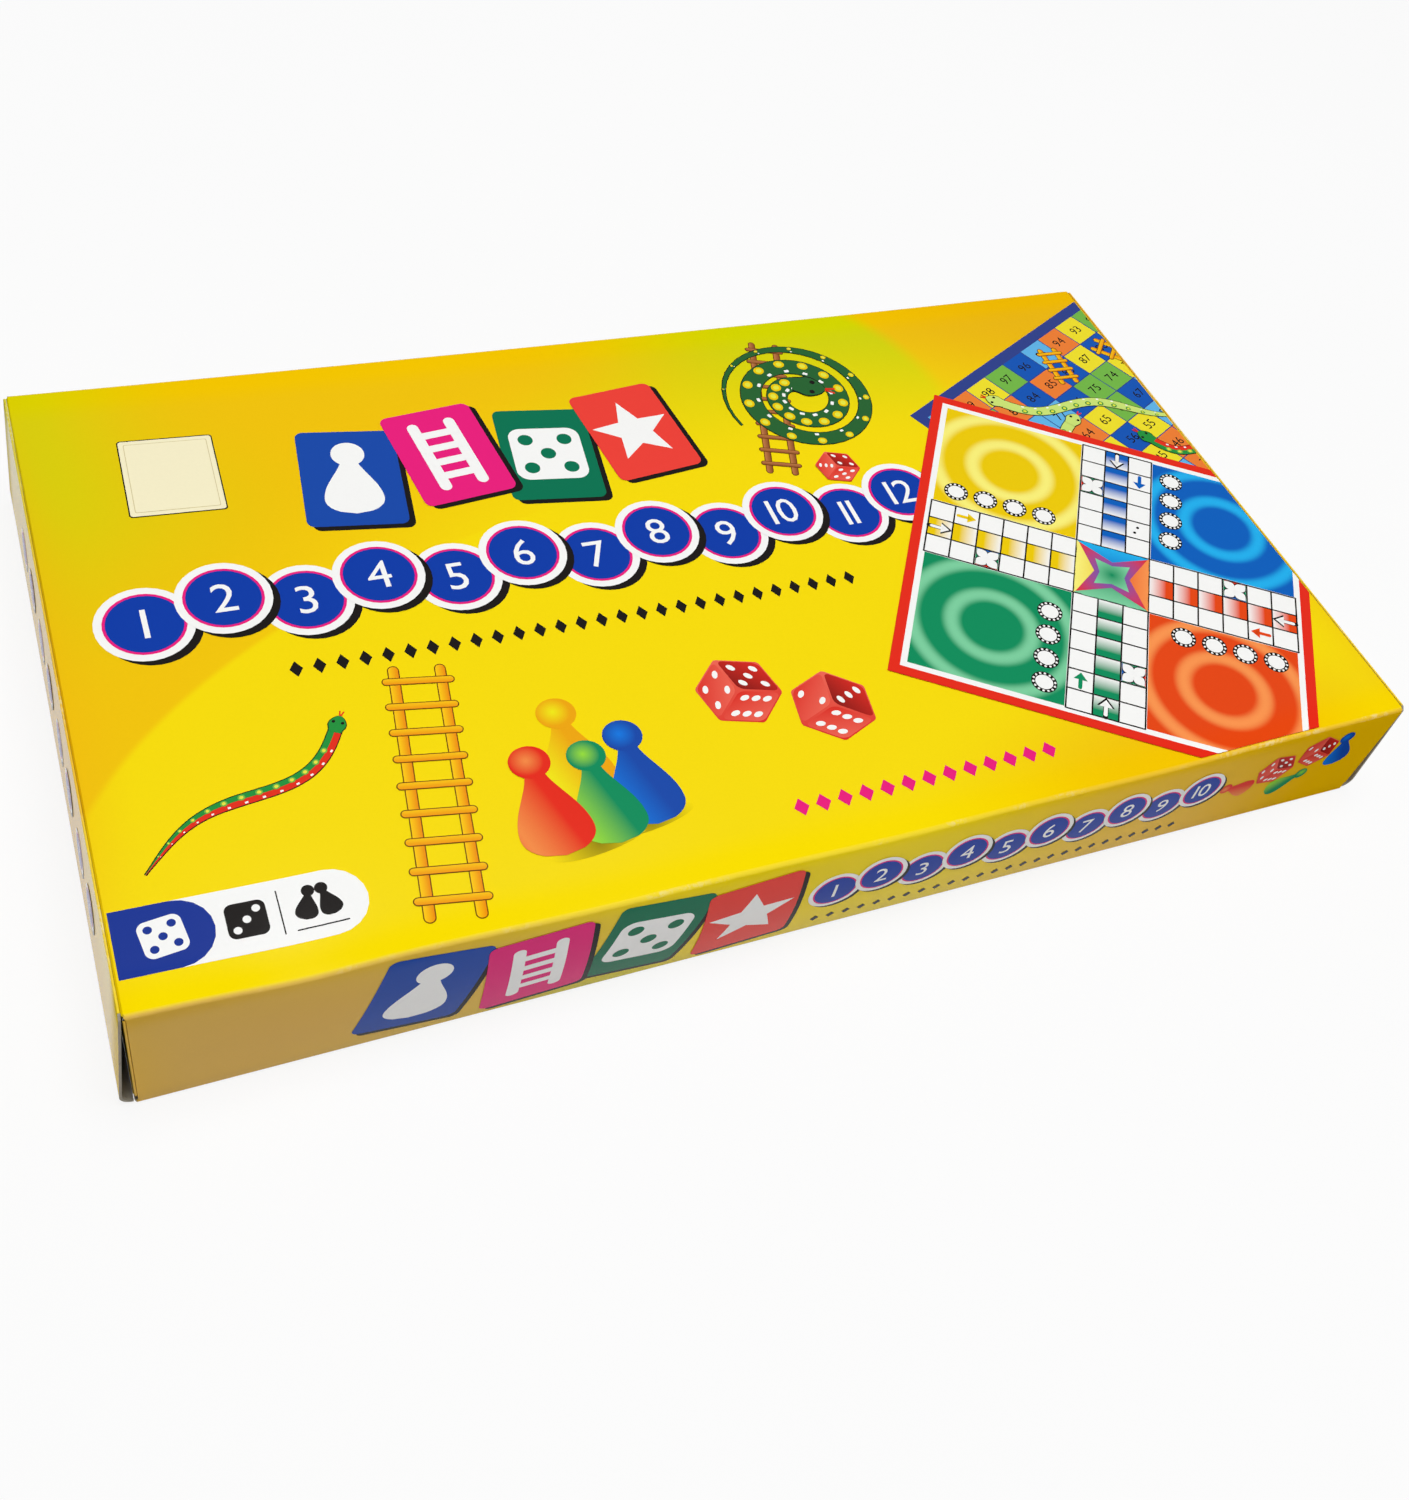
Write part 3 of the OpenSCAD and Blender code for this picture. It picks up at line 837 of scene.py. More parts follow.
def build_tube():
    """The printed tube: top, front, bottom, back and glue flap in one folded sheet."""
    points, faces, picks, crease = card_sheet(tube_rows(), TUBE_COLUMNS, lambda u, a, b: (u, a, b))
    points = np.array(points)
    bevel = (points[:, 2] > HEIGHT - HALF_CARD) & (abs(points[:, 0]) > FRONT_HIGH.x)
    points[bevel, 0] -= np.sign(points[bevel, 0]) * bpy.context.scene.game_card.fold_relief
    centres = np.array([points[face].mean(0) for face in faces])
    folded = (abs(centres[:, 0]) > FRONT_HIGH.x - HALF_CARD) & (centres[:, 2] > CARD)
    picks = np.where(folded, PRINTED, picks)
    tube = add_piece("carton_tube", settle(points), faces, carton_materials(), picks, crease)
    dress(tube, "carton", "carton_print",
          "top_panel", "bottom_panel", "front_panel", "back_panel", "glue_flap")


def closure_rows():
    """Right end panel in X and Z: down from its crease, leaning out, and round the soft bend."""
    radius = bpy.context.scene.game_card.tuck_bend_radius
    centre = Vector((TUCK_CREASE.x, TUCK_CREASE.z + radius))
    to_centre = centre - Vector((CLOSURE_HINGE.x, CLOSURE_HINGE.z))
    lean = math.asin(radius / to_centre.length) + math.atan2(to_centre.x, -to_centre.y)
    straight = math.sqrt(to_centre.length_squared - radius ** 2)
    wide = CLOSURE_HIGH.y
    shoulder = wide - CREASE_RADIUS
    walk = Walk((CLOSURE_HINGE.x, CLOSURE_HINGE.z), lean - QUARTER, -1, shoulder + HALF_CARD)
    walk.straight(CREASE_RADIUS, SHOULDER_ROWS, wide)
    walk.straight(straight - CREASE_RADIUS, CLOSURE_ROWS, wide)
    turn = QUARTER + lean - (HALF_CARD + CREASE_GAP) / radius
    walk.bend(radius, -turn, TUCK_BEND_ROWS, wide)
    return walk.rows


def build_closure(end, sign):
    """One end panel with the bead of its crease."""
    *sheet, crease = card_sheet(closure_rows(), CLOSURE_COLUMNS, lambda u, a, b: (sign * a, u, b))
    shoulder = Vector((0, CLOSURE_HIGH.y - CREASE_RADIUS, 0))
    hinge = Vector((sign * CLOSURE_HINGE.x, 0, CLOSURE_HINGE.z))
    bead = round_bar(hinge - shoulder, hinge + shoulder, HALF_CARD)
    points, faces, picks = joined(sheet, bead)
    crease += [1.0] * len(bead[0])
    panel = add_piece(f"{end}_end_panel", points, faces, carton_materials(), picks, crease)
    dress(panel, f"{end}_closure", "carton_print", f"{end}_closure_panel")


def add_flap(name, corners, radii, place):
    """A flat flap with a bead along its crease, which runs from the last corner back to the first."""
    bead = round_bar(place(*corners[0], 0), place(*corners[-1], 0), HALF_CARD)
    points, faces, picks = joined(card_plate(rounded(corners, radii), place), bead)
    flap = add_piece(name, points, faces, carton_materials(), picks)
    dress(flap, name, "carton_print", f"{name}_flap")


def build_tuck(end, sign):
    """One tuck flap with round corners, sloping up from its crease."""
    card = bpy.context.scene.game_card
    wide, radius = TUCK_HIGH.y, card.tuck_corner_radius
    length = (TUCK_CREASE.x - TUCK_LOW.x) / math.cos(card.tuck_rise)
    ahead = Vector((-math.cos(card.tuck_rise), 0, math.sin(card.tuck_rise)))
    below = Vector((-math.sin(card.tuck_rise), 0, -math.cos(card.tuck_rise)))

    def place(u, v, offset):
        spot = TUCK_CREASE + u * ahead + offset * below + Vector((0, v, 0))
        return Vector((sign * spot.x, spot.y, spot.z))

    corners = [(0, -wide), (length, -wide), (length, wide), (0, wide)]
    add_flap(f"{end}_tuck", corners, [0, radius, radius, 0], place)


def build_dust_flap(end, sign, side, way):
    """One dust flap, tapered along its upper edge, folded in behind the end panel."""
    card = bpy.context.scene.game_card
    radius, shoulder = card.dust_corner_radius, card.dust_shoulder
    length = DUST_HIGH.y - DUST_CREASE.y
    low, top = DUST_LOW.z, DUST_HIGH.z
    tip = top - (length - shoulder) * math.tan(card.dust_slope)

    def place(u, z, offset):
        return Vector((sign * (DUST_CREASE.x + offset), way * (HALF_DEPTH - HALF_CARD - u), z))

    corners = [(0, low), (length, low), (length, tip), (shoulder, top), (0, top)]
    add_flap(f"{end}_{side}_dust", corners, [0, radius, radius, 0, 0], place)


# Outlines and fades of the flat artwork, in millimetres

def disc(radius, stretch=1.0, steps=ROUND_STEPS):
    """Outline of a disc or an ellipse."""
    angles = TURN * np.arange(steps) / steps
    return np.column_stack((radius * np.cos(angles), stretch * radius * np.sin(angles)))


def block(width, height, corner=0.0):
    """Outline of a rectangle about the origin, with round corners where asked."""
    w, h = width / 2, height / 2
    return np.array(rounded([(-w, -h), (w, -h), (w, h), (-w, h)], [corner] * 4))


def bar(start, end, radius):
    """Outline of a bar with round ends."""
    start, end = np.array(start, float), np.array(end, float)
    heading = math.atan2(*(end - start)[::-1])
    turns = heading + QUARTER + math.pi * np.arange(BAR_END_STEPS + 1) / BAR_END_STEPS
    half = radius * np.column_stack((np.cos(turns), np.sin(turns)))
    return np.vstack((start + half, end - half))


def diamond(width, height):
    """Outline of a diamond."""
    return np.array([(-width / 2, 0), (0, -height / 2), (width / 2, 0), (0, height / 2)])


def star(points, outer, inner):
    """Outline of a star."""
    radii = np.where(np.arange(2 * points) % 2 == 0, outer, inner)
    angles = QUARTER + TURN * np.arange(2 * points) / (2 * points)
    return np.column_stack((radii * np.cos(angles), radii * np.sin(angles)))


def ribbon(line, left, right=None):
    """Outline of a band along a line, by its reach to the left and, where that differs, to the right."""
    right = left if right is None else right
    ahead = np.gradient(line, axis=0)
    ahead /= np.linalg.norm(ahead, axis=1)[:, None]
    aside = np.column_stack((-ahead[:, 1], ahead[:, 0]))
    return np.vstack((line + aside * left[:, None], (line - aside * right[:, None])[::-1]))


def across(start, end):
    """A fade from one point to another."""
    start, way = np.array(start, float), np.array(end, float) - np.array(start, float)
    return start, np.array((way, (0, 0))) / (way @ way), 0.0


def around(centre, radius, rings=0.0):
    """A fade from a centre outwards, or rings about it."""
    return np.array(centre, float), np.eye(2) / radius, rings


FLAT_INK = (np.zeros(2), np.zeros((2, 2)), 0.0)
STRAIGHT = 1e-9


def is_convex(points):
    """Whether an outline turns only one way."""
    edges = np.roll(points, -1, axis=0) - points
    after = np.roll(edges, -1, axis=0)
    turns = edges[:, 0] * after[:, 1] - edges[:, 1] * after[:, 0]
    return bool((turns > -STRAIGHT).all() or (turns < STRAIGHT).all())


# The press and the pen

Shape = namedtuple("Shape", "points faces layer ink glow fade")
CUT_NEARNESS = 1e-4


class Press:
    """Gathers flat shapes in millimetres and prints them on a surface as thin closed films."""

    def __init__(self):
        self.shapes = []

    def _flat_mesh(self, limits, cells):
        """All shapes in one flat mesh, trimmed to the limits and cut into cells so that it can bend."""
        flat = bmesh.new()
        owner = flat.faces.layers.int.new("shape")
        for index, shape in enumerate(self.shapes):
            corners = [flat.verts.new((*p, 0)) for p in shape.points]
            for face in shape.faces:
                flat.faces.new([corners[i] for i in face])[owner] = index

        def cut(axis, place, sign, clear):
            normal = Vector((sign * (axis == 0), sign * (axis == 1), 0))
            everything = flat.verts[:] + flat.edges[:] + flat.faces[:]
            bmesh.ops.bisect_plane(flat, geom=everything, dist=CUT_NEARNESS, plane_co=normal * sign * place,
                                   plane_no=normal, clear_outer=clear)

        for axis in (0, 1):
            low, high = limits[axis], limits[axis + 2]
            cut(axis, low, -1, True)
            cut(axis, high, 1, True)
            for place in np.linspace(low, high, cells[axis] + 1)[1:-1]:
                cut(axis, place, 1, False)
        loose = [v for v in flat.verts if not v.link_faces]
        bmesh.ops.delete(flat, geom=loose, context="VERTS")
        flat.normal_update()
        for face in flat.faces:
            if face.normal.z < 0:
                face.normal_flip()
        flat.verts.index_update()
        return flat, owner

    def film(self, name, surface, limits, cells, material):
        """One object of all the shapes on a surface, which takes two places and a height in millimetres."""
        flat, owner = self._flat_mesh(limits, cells)
        count = len(flat.verts)
        spots = np.array([v.co[:2] for v in flat.verts])
        layers = np.zeros(count)
        faces, owners = [], []
        for face in flat.faces:
            ring = [v.index for v in face.verts]
            layers[ring] = self.shapes[face[owner]].layer
            faces.append(ring)
            owners.append(face[owner])
        under = [[i + count for i in reversed(ring)] for ring in faces]
        rims, rim_owners = [], []
        for edge in flat.edges:
            if edge.is_boundary:
                loop = edge.link_loops[0]
                a, b = loop.vert.index, loop.link_loop_next.vert.index
                rims.append([b, a, a + count, b + count])
                rim_owners.append(loop.face[owner])
        flat.free()
        upper = surface(*spots.T, FILM_BASE + layers * FILM_STEP)
        lower = surface(*spots.T, FILM_BASE + (layers - FILM_OVERLAP) * FILM_STEP)
        rings = faces + under + rims
        owners = np.array(owners + owners + rim_owners)
        mesh = bpy.data.meshes.new(name)
        mesh.from_pydata([tuple(p) for p in np.vstack((upper, lower))], [], rings)
        mesh.materials.append(material)
        self._colour(mesh, rings, owners, spots)
        return new_object(name, mesh)

    def _colour(self, mesh, rings, owners, spots):
        """Writes each corner's inks and its place in its fade."""
        corner_owner = np.repeat(owners, [len(ring) for ring in rings])
        corner_spot = spots[np.concatenate(rings) % len(spots)]
        for key in ("ink", "glow"):
            table = np.array([(*getattr(shape, key), 1.0) for shape in self.shapes])
            layer = mesh.attributes.new(key, "FLOAT_COLOR", "CORNER")
            layer.data.foreach_set("color", table[corner_owner].ravel())
        columns = zip(*(shape.fade for shape in self.shapes))
        starts, scales, rounds = (np.array(column)[corner_owner] for column in columns)
        fades = np.einsum("nij,nj->ni", scales, corner_spot - starts)
        layer = mesh.attributes.new("fade", "FLOAT_VECTOR", "CORNER")
        layer.data.foreach_set("vector", np.column_stack((fades, rounds)).ravel())


DIGITS = {}
DIGIT_GAP = 0.14
DIGIT_CURVE_STEPS = 3


def load_digits():
    """Flat shapes of the ten digits, one unit high, from the program's own plain font."""
    for digit in "0123456789":
        curve = bpy.data.curves.new("digit", "FONT")
        curve.body = digit
        curve.resolution_u = DIGIT_CURVE_STEPS
        writer = new_object("digit", curve)
        seen = writer.evaluated_get(bpy.context.evaluated_depsgraph_get())
        mesh = bpy.data.meshes.new_from_object(seen)
        points = np.array([v.co[:2] for v in mesh.vertices])
        low, high = points.min(0), points.max(0)
        scale = 1 / (high[1] - low[1])
        faces = [list(f.vertices) for f in mesh.polygons]
        DIGITS[digit] = ((points - low) * scale, faces, (high[0] - low[0]) * scale)
        bpy.data.objects.remove(writer)
        bpy.data.curves.remove(curve)
        bpy.data.meshes.remove(mesh)


class Pen:
    """Draws on a press from a place, a turn, a size and a layer."""

    def __init__(self, press, matrix=np.eye(2), origin=np.zeros(2), layer=1):
        self.press, self.matrix, self.origin, self.layer = press, matrix, origin, layer

    def spot(self, points):
        """Points of this pen on the press."""
        return np.asarray(points, float) @ self.matrix.T + self.origin

    def at(self, x, y, turn=0.0, size=1.0, lift=0):
        """A pen at another place."""
        c, s = math.cos(math.radians(turn)), math.sin(math.radians(turn))
        return Pen(self.press, self.matrix @ (size * np.array(((c, -s), (s, c)))),
                   self.spot((x, y)), self.layer + lift)

    def skewed(self, x, y, right, up, lift=0):
        """A pen whose two directions are any two arrows."""
        return Pen(self.press, self.matrix @ np.array((right, up)).T, self.spot((x, y)), self.layer + lift)

    def fill(self, outline, colour, glow=None, fade=None, lift=0):
        """Fills an outline with an ink, or with a fade to a second ink."""
        points = self.spot(outline)
        if is_convex(points):
            faces = [range(len(points))]
        else:
            faces = tessellate_polygon([[Vector((*p, 0)) for p in points]])
        self._add(points, faces, colour, glow, fade, lift)

    def number(self, value, height, colour, lift=0):
        """Writes a plain number about the origin."""
        shapes = [DIGITS[d] for d in str(value)]
        total = sum(width for *_, width in shapes) + DIGIT_GAP * (len(shapes) - 1)
        left = -total / 2
        for points, faces, width in shapes:
            shifted = height * (points + (left, -0.5))
            self._add(self.spot(shifted), faces, colour, None, None, lift)
            left += width + DIGIT_GAP

    def _add(self, points, faces, colour, glow, fade, lift):
        shade = FLAT_INK
        if fade:
            start, scale, rings = fade
            shade = (self.spot(start), scale @ np.linalg.inv(self.matrix), rings)
        inks = ink(colour), ink(glow or colour)
        self.press.shapes.append(Shape(points, faces, self.layer + lift, *inks, shade))


# Drawings that the prints share, in millimetres or in shares of a size that is given

PAWN_HEIGHT = 20.0
PAWN_HALF_WIDTH = 7.6
PAWN_NECK = 2.0
PAWN_FOOT_SHARE = 0.26
PAWN_TAPER_POWER = 1.5
PAWN_ROWS = 26
PAWN_HEAD_HEIGHT = 22.5
PAWN_HEAD_RADIUS = 4.3
PAWN_HEAD_STRETCH = 0.92
PAWN_FADE = ((-6.5, 6), (2.5, 8.5))
PAWN_HEAD_FADE = ((-0.6, 0.5), 3.6)
PLAIN_HEAD_HEIGHT = 22
PLAIN_HEAD_RADIUS = 4.4


def pawn_outline():
    """Outline of a pawn's body, from its round foot to its neck."""
    shares = np.linspace(0, 1, PAWN_ROWS)
    foot = np.sqrt(np.clip(1 - (1 - np.minimum(shares / PAWN_FOOT_SHARE, 1)) ** 2, 0, 1))
    above = np.clip((shares - PAWN_FOOT_SHARE) / (1 - PAWN_FOOT_SHARE), 0, 1)
    taper = np.cos(QUARTER * above) ** PAWN_TAPER_POWER
    body = PAWN_NECK + (PAWN_HALF_WIDTH - PAWN_NECK) * taper
    widths = np.where(shares < PAWN_FOOT_SHARE, PAWN_HALF_WIDTH * foot, body)
    right = np.column_stack((widths, PAWN_HEIGHT * shares))[1:]
    left = np.column_stack((-widths, PAWN_HEIGHT * shares))[1:][::-1]
    return np.vstack(((0, 0), right, left))


def draw_pawn(pen, colour, glow):
    """A pawn with a lit left side and a round head."""
    pen.fill(pawn_outline(), glow, colour, across(*PAWN_FADE))
    head = pen.at(0, PAWN_HEAD_HEIGHT, lift=1)
    head.fill(disc(PAWN_HEAD_RADIUS, PAWN_HEAD_STRETCH), glow, colour, around(*PAWN_HEAD_FADE))


def draw_plain_pawn(pen, colour, size):
    """A pawn in one ink."""
    small = pen.at(0, 0, size=size)
    small.fill(pawn_outline(), colour)
    small.at(0, PLAIN_HEAD_HEIGHT, lift=1).fill(disc(PLAIN_HEAD_RADIUS), colour)


def draw_pawns(pen, places):
    """Shaded pawns by place, turn, size, layer and inks."""
    for x, y, turn, size, lift, colour, glow in places:
        draw_pawn(pen.at(x, y, turn, size, lift), colour, glow)


ROD_LINE = 0.28
RUNG_SHARE = 0.74
RUNG_REACH = 1.7
FIRST_RUNG = 0.55


def draw_rod(pen, start, end, radius, colour, glow, fade):
    """A round rod with a fade across it and a thin outline."""
    pen.fill(bar(start, end, radius + ROD_LINE), "line")
    pen.fill(bar(start, end, radius), colour, glow, fade, lift=1)


def draw_ladder(pen, length, width, rungs, rail=1.25, light="rail_light", dark="rail"):
    """A ladder that stands on the origin, in two inks with a thin outline."""
    half = width / 2
    for side in (-half, half):
        fade = across((side - rail, 0), (side + rail, 0))
        draw_rod(pen, (side, 0), (side, length), rail, light, dark, fade)
    reach = half + RUNG_REACH * rail
    for k in range(rungs):
        y = length * (k + FIRST_RUNG) / rungs
        fade = across((0, y - rail), (0, y + rail))
        draw_rod(pen.at(0, 0, lift=2), (-reach, y), (reach, y), RUNG_SHARE * rail, dark, light, fade)


def pip_steps(value):
    """Places of the pips of one face, from -1 to 1."""
    places = [(0, 0)] if value % 2 else []
    places += [(-1, -1), (1, 1)] if value > 1 else []
    places += [(-1, 1), (1, -1)] if value > 3 else []
    return places + ([(-1, 0), (1, 0)] if value == 6 else [])


def draw_pips(pen, value, spread, radius, colour, steps=PIP_STEPS):
    """The pips of one face of a die."""
    for x, y in pip_steps(value):
        pen.at(spread * x, spread * y, lift=1).fill(disc(radius, steps=steps), colour)


def draw_flat_die(pen, value, side, corner, spread, radius, face, pips, steps=PIP_STEPS):
    """A die seen straight on."""
    pen.fill(block(side, side, corner), face)
    draw_pips(pen, value, spread, radius, pips, steps)


# A die seen from above a corner: its edges in millimetres, their headings, and shares of a face
DIE_HEADINGS = np.array((210, 330, 90))
DIE_EDGE = 12.4
DIE_UPRIGHT = 11.6
DIE_ROUNDING = 1.6
FACE_INSET = 0.93
FACE_CORNER = 0.16
FACE_FADE = ((-0.5, -0.5), (0.5, 0.6))


def draw_die(pen, values, turn):
    """A die seen from above a corner, with three faces of pips."""
    headings = np.radians(turn + DIE_HEADINGS)
    arrows = [np.array((math.cos(a), math.sin(a))) for a in headings]
    left, right, up = DIE_EDGE * arrows[0], DIE_EDGE * arrows[1], DIE_UPRIGHT * arrows[2]
    hexagon = [left, left + right, right, right + up, up, up + left]
    outline = np.array(rounded(hexagon, [DIE_ROUNDING] * len(hexagon)))
    pen.fill(outline, "die_light", "die_red", across(up, left + right))
    faces = ((left, right, "die_red", "die_light"), (left, up, "die_light", "die_red"),
             (right, up, "die_dark", "die_red"))
    for value, (a, b, colour, glow) in zip(values, faces):
        face = pen.skewed(*(a + b) / 2, FACE_INSET * a, FACE_INSET * b, lift=1)
        face.fill(block(1, 1, FACE_CORNER), colour, glow, across(*FACE_FADE))
        draw_pips(face, value, spread=0.27, radius=0.1, colour="white")


def draw_dice(pen, places):
    """Drawn dice by place, size, layer, values and turn."""
    for x, y, size, lift, values, turn in places:
        draw_die(pen.at(x, y, size=size, lift=lift), values, turn)


# A snake: steps along it and from spot to spot, its outline in millimetres, and shares of its own size
SNAKE_STEPS = 46
SNAKE_OUTLINE = 0.25
TAIL_SHARE = 0.45
TAIL_TIP = 0.04
TAIL_POWER = 0.8
TAIL_WAVE = 0.5
BACK_GAP = 0.05
SPOT_STEP = 3
SPOT_ASIDE = 0.38
SPOT = {"radius": 0.56, "stretch": 0.9, "steps": 16}
SPOT_MIDDLE = {"radius": 0.32, "stretch": 0.9, "steps": 12}
FLECK_PLACE = (0.4, -0.7)
FLECK = {"width": 0.5, "height": 0.34, "corner": 0.1}
HEAD_LINE = np.array([(x, 0.0) for x in (-0.7, 0.0, 0.6, 1.2, 1.8, 2.3, 2.6)])
HEAD_REACH = np.array((0.9, 1.1, 1.34, 1.3, 1.0, 0.6, 0.14))
HEAD_OUTLINE = 0.14
TONGUE_ROOT = 2.3
TONGUE_TIP = 3.5
TONGUE_FORK = 0.3
TONGUE_RADIUS = 0.12
EYE_AHEAD = 1.3
EYE_ASIDE = 0.72
EYE = {"radius": 0.27, "steps": 12}


def snake_line(length, wave, turns):
    """A wavy centreline along X, calmest at its tail."""
    share = np.linspace(0, 1, SNAKE_STEPS)
    growth = TAIL_WAVE + (1 - TAIL_WAVE) * share
    return np.column_stack((length * share, wave * np.sin(TURN * turns * share) * growth))


def draw_snake(pen, line, girth, body, spots, back=None):
    """A snake along a line from its tail to its head, with a row of spots and a forked tongue."""
    share = np.linspace(0, 1, len(line))
    widths = girth * np.clip(share / TAIL_SHARE, TAIL_TIP, 1) ** TAIL_POWER
    pen.fill(ribbon(line, widths + SNAKE_OUTLINE), "black")
    pen.fill(ribbon(line, widths), body, lift=1)
    if back:
        pen.fill(ribbon(line, widths, -BACK_GAP * widths), back, lift=2)
    ahead = np.gradient(line, axis=0)
    turns = np.degrees(np.arctan2(ahead[:, 1], ahead[:, 0]))
    for k in range(SPOT_STEP + 1, len(line) - SPOT_STEP, SPOT_STEP):
        mark = pen.at(*line[k], turn=turns[k], size=widths[k], lift=3)
        mark.at(0, SPOT_ASIDE).fill(disc(**SPOT), spots)
        mark.at(0, SPOT_ASIDE, lift=1).fill(disc(**SPOT_MIDDLE), "snake_light")
        mark.at(*FLECK_PLACE).fill(block(**FLECK), "white")
    head = pen.at(*line[-1], turn=turns[-1], size=girth, lift=3)
    for side in (-1, 1):
        head.fill(bar((TONGUE_ROOT, 0), (TONGUE_TIP, TONGUE_FORK * side), TONGUE_RADIUS), "cross_red")
        head.at(EYE_AHEAD, EYE_ASIDE * side, lift=4).fill(disc(**EYE), "black")
    head.fill(ribbon(HEAD_LINE, HEAD_REACH + HEAD_OUTLINE), "black", lift=1)
    head.fill(ribbon(HEAD_LINE, HEAD_REACH), back or body, lift=2)


def draw_coil(pen):
    """A coiled green snake seen from above."""
    outer, inner, girth = 26.5, 6.0, 3.3
    start, turns, steps = math.radians(200), 2.35, 90
    share = np.linspace(0, 1, steps)
    angle = start - TURN * turns * share
    radius = outer - (outer - inner) * share
    line = np.column_stack((radius * np.cos(angle), radius * np.sin(angle)))
    draw_snake(pen, line, girth, "snake_dark", "yard_yellow")


# Drawings of the carton, in millimetres

# The label's sides, and its layers by inset, corner radius and ink
LABEL_SIZE = (25.6, 30.2)
LABEL_LAYERS = ((0.0, 1.0, "black"), (0.35, 0.8, "cream"), (1.65, 0.5, "label_line"), (1.85, 0.4, "cream"))


def draw_label(pen):
    """A bare cream label with a thin dark keyline."""
    for lift, (inset, corner, colour) in enumerate(LABEL_LAYERS):
        width, height = (side - 2 * inset for side in LABEL_SIZE)
        pen.fill(block(width, height, corner), colour, lift=lift)


def mark_pawn(pen, _):
    """A white pawn on a tile."""
    foot, size = -12.6, 0.95
    draw_plain_pawn(pen.at(0, foot), "white", size)


def mark_ladder(pen, _):
    """A white ladder on a tile."""
    half, reach, rail, rung = 5, 11, 1.5, 1.2
    for side in (-half, half):
        pen.fill(bar((side, -reach), (side, reach), rail), "white")
    for y in (-7.5, -2.5, 2.5, 7.5):
        pen.fill(bar((-half, y), (half, y), rung), "white", lift=1)


def mark_die(pen, colour):
    """A white die on a tile, with pips of the tile's colour."""
    draw_flat_die(pen, 5, side=19, corner=3.4, spread=5.2, radius=2.0, face="white", pips=colour,
                  steps=ROUND_STEPS)


def mark_star(pen, _):
    """A white star on a tile."""
    pen.fill(star(5, outer=11.5, inner=5.0), "white")


# A tile's sides and corner radius, its shadow, tilt and layers, and the size of its symbol
TILE = (28, 38, 2.4)
TILE_SHADOW = (1.6, -1.6)
TILE_TILT = 7
TILE_LAYERS = 4
SYMBOL_SIZE = 1.14
TILES = (("tile_blue", mark_pawn), ("pink", mark_ladder), ("tile_green", mark_die), ("tile_red", mark_star))


def draw_tiles(pen, pitch, sway=2.5):
    """Four rounded tiles in a row, tilted by turns, with drop shadows and white symbols."""
    for k, (colour, mark) in enumerate(TILES):
        way = 1 if k % 2 else -1
        tile = pen.at(pitch * k, sway * way, turn=TILE_TILT * way, lift=TILE_LAYERS * (k % 2))
        tile.at(*TILE_SHADOW).fill(block(*TILE), "black")
        tile.fill(block(*TILE), colour, lift=1)
        mark(tile.at(0, 0, size=SYMBOL_SIZE, lift=2), colour)


# A stone's round layers by share of its radius, and all its layers with its shadow and its number
STONE_LAYERS = ((1.0, "white"), (0.83, "pink"), (0.77, "stone_blue"))
STONE_DEPTH = len(STONE_LAYERS) + 2
STONE_SHADOW_SHARE = 0.13
STONE_NUMBER_SHARE = 0.78


def draw_stones(pen, count, pitch, radius, rise, sway):
    """A path of numbered round stones with pink rings, white rims and drop shadows."""
    for k in range(count):
        stone = pen.at(pitch * k, rise * k + (sway if k % 2 else -sway), lift=STONE_DEPTH * (k % 2))
        shadow = STONE_SHADOW_SHARE * radius
        stone.at(shadow, -shadow).fill(disc(radius), "black")
        for lift, (share, colour) in enumerate(STONE_LAYERS, 1):
            stone.fill(disc(share * radius), colour, lift=lift)
        stone.number(k + 1, STONE_NUMBER_SHARE * radius, "white", lift=STONE_DEPTH - 1)


def draw_diamonds(pen, count, pitch, width, height, colour):
    """A row of small diamonds."""
    for k in range(count):
        pen.at(pitch * k, 0).fill(diamond(width, height), colour)


def draw_pill(pen):
    """A rounded strip with a blue end, two dice, and two pawns over a thin line."""
    left, right, blue_end, half = -44, 14, -20, 8.6
    divider, reach, thin = 2.8, 5.6, 0.16
    foot, size = -3.2, 0.34
    ground, ground_start, ground_end, ground_radius = -5.4, 5.6, 17.0, 0.18
    pen.fill(bar((left, 0), (right, 0), half), "white")
    pen.fill(bar((left, 0), (blue_end, 0), half), "pill_blue", lift=1)
    draw_flat_die(pen.at(-22.5, 0, turn=8, lift=2), 5, side=9.6, corner=2.0, spread=2.6, radius=1.0,
                  face="white", pips="pill_blue")
    draw_flat_die(pen.at(-4.6, 0, lift=1), 3, side=9.0, corner=1.8, spread=2.4, radius=0.95,
                  face="black", pips="white")
    pen.fill(bar((divider, -reach), (divider, reach), thin), "black", lift=1)
    for x, turn in ((7.9, -14), (14.5, 14)):
        draw_plain_pawn(pen.at(x, foot, turn=turn, lift=1), "black", size)
    pen.fill(bar((ground_start, ground), (ground_end, ground), ground_radius), "black", lift=1)


# Drawings of the two boards, in shares of a cell

# The dots in a token spot's rim, and by the spot's radius their ring, their size and the white middle
TOKEN_DOTS = 14
TOKEN_DOT_STEPS = 8
TOKEN_RING_SHARE = 0.84
TOKEN_DOT_SHARE = 0.1
TOKEN_MIDDLE_SHARE = 0.68


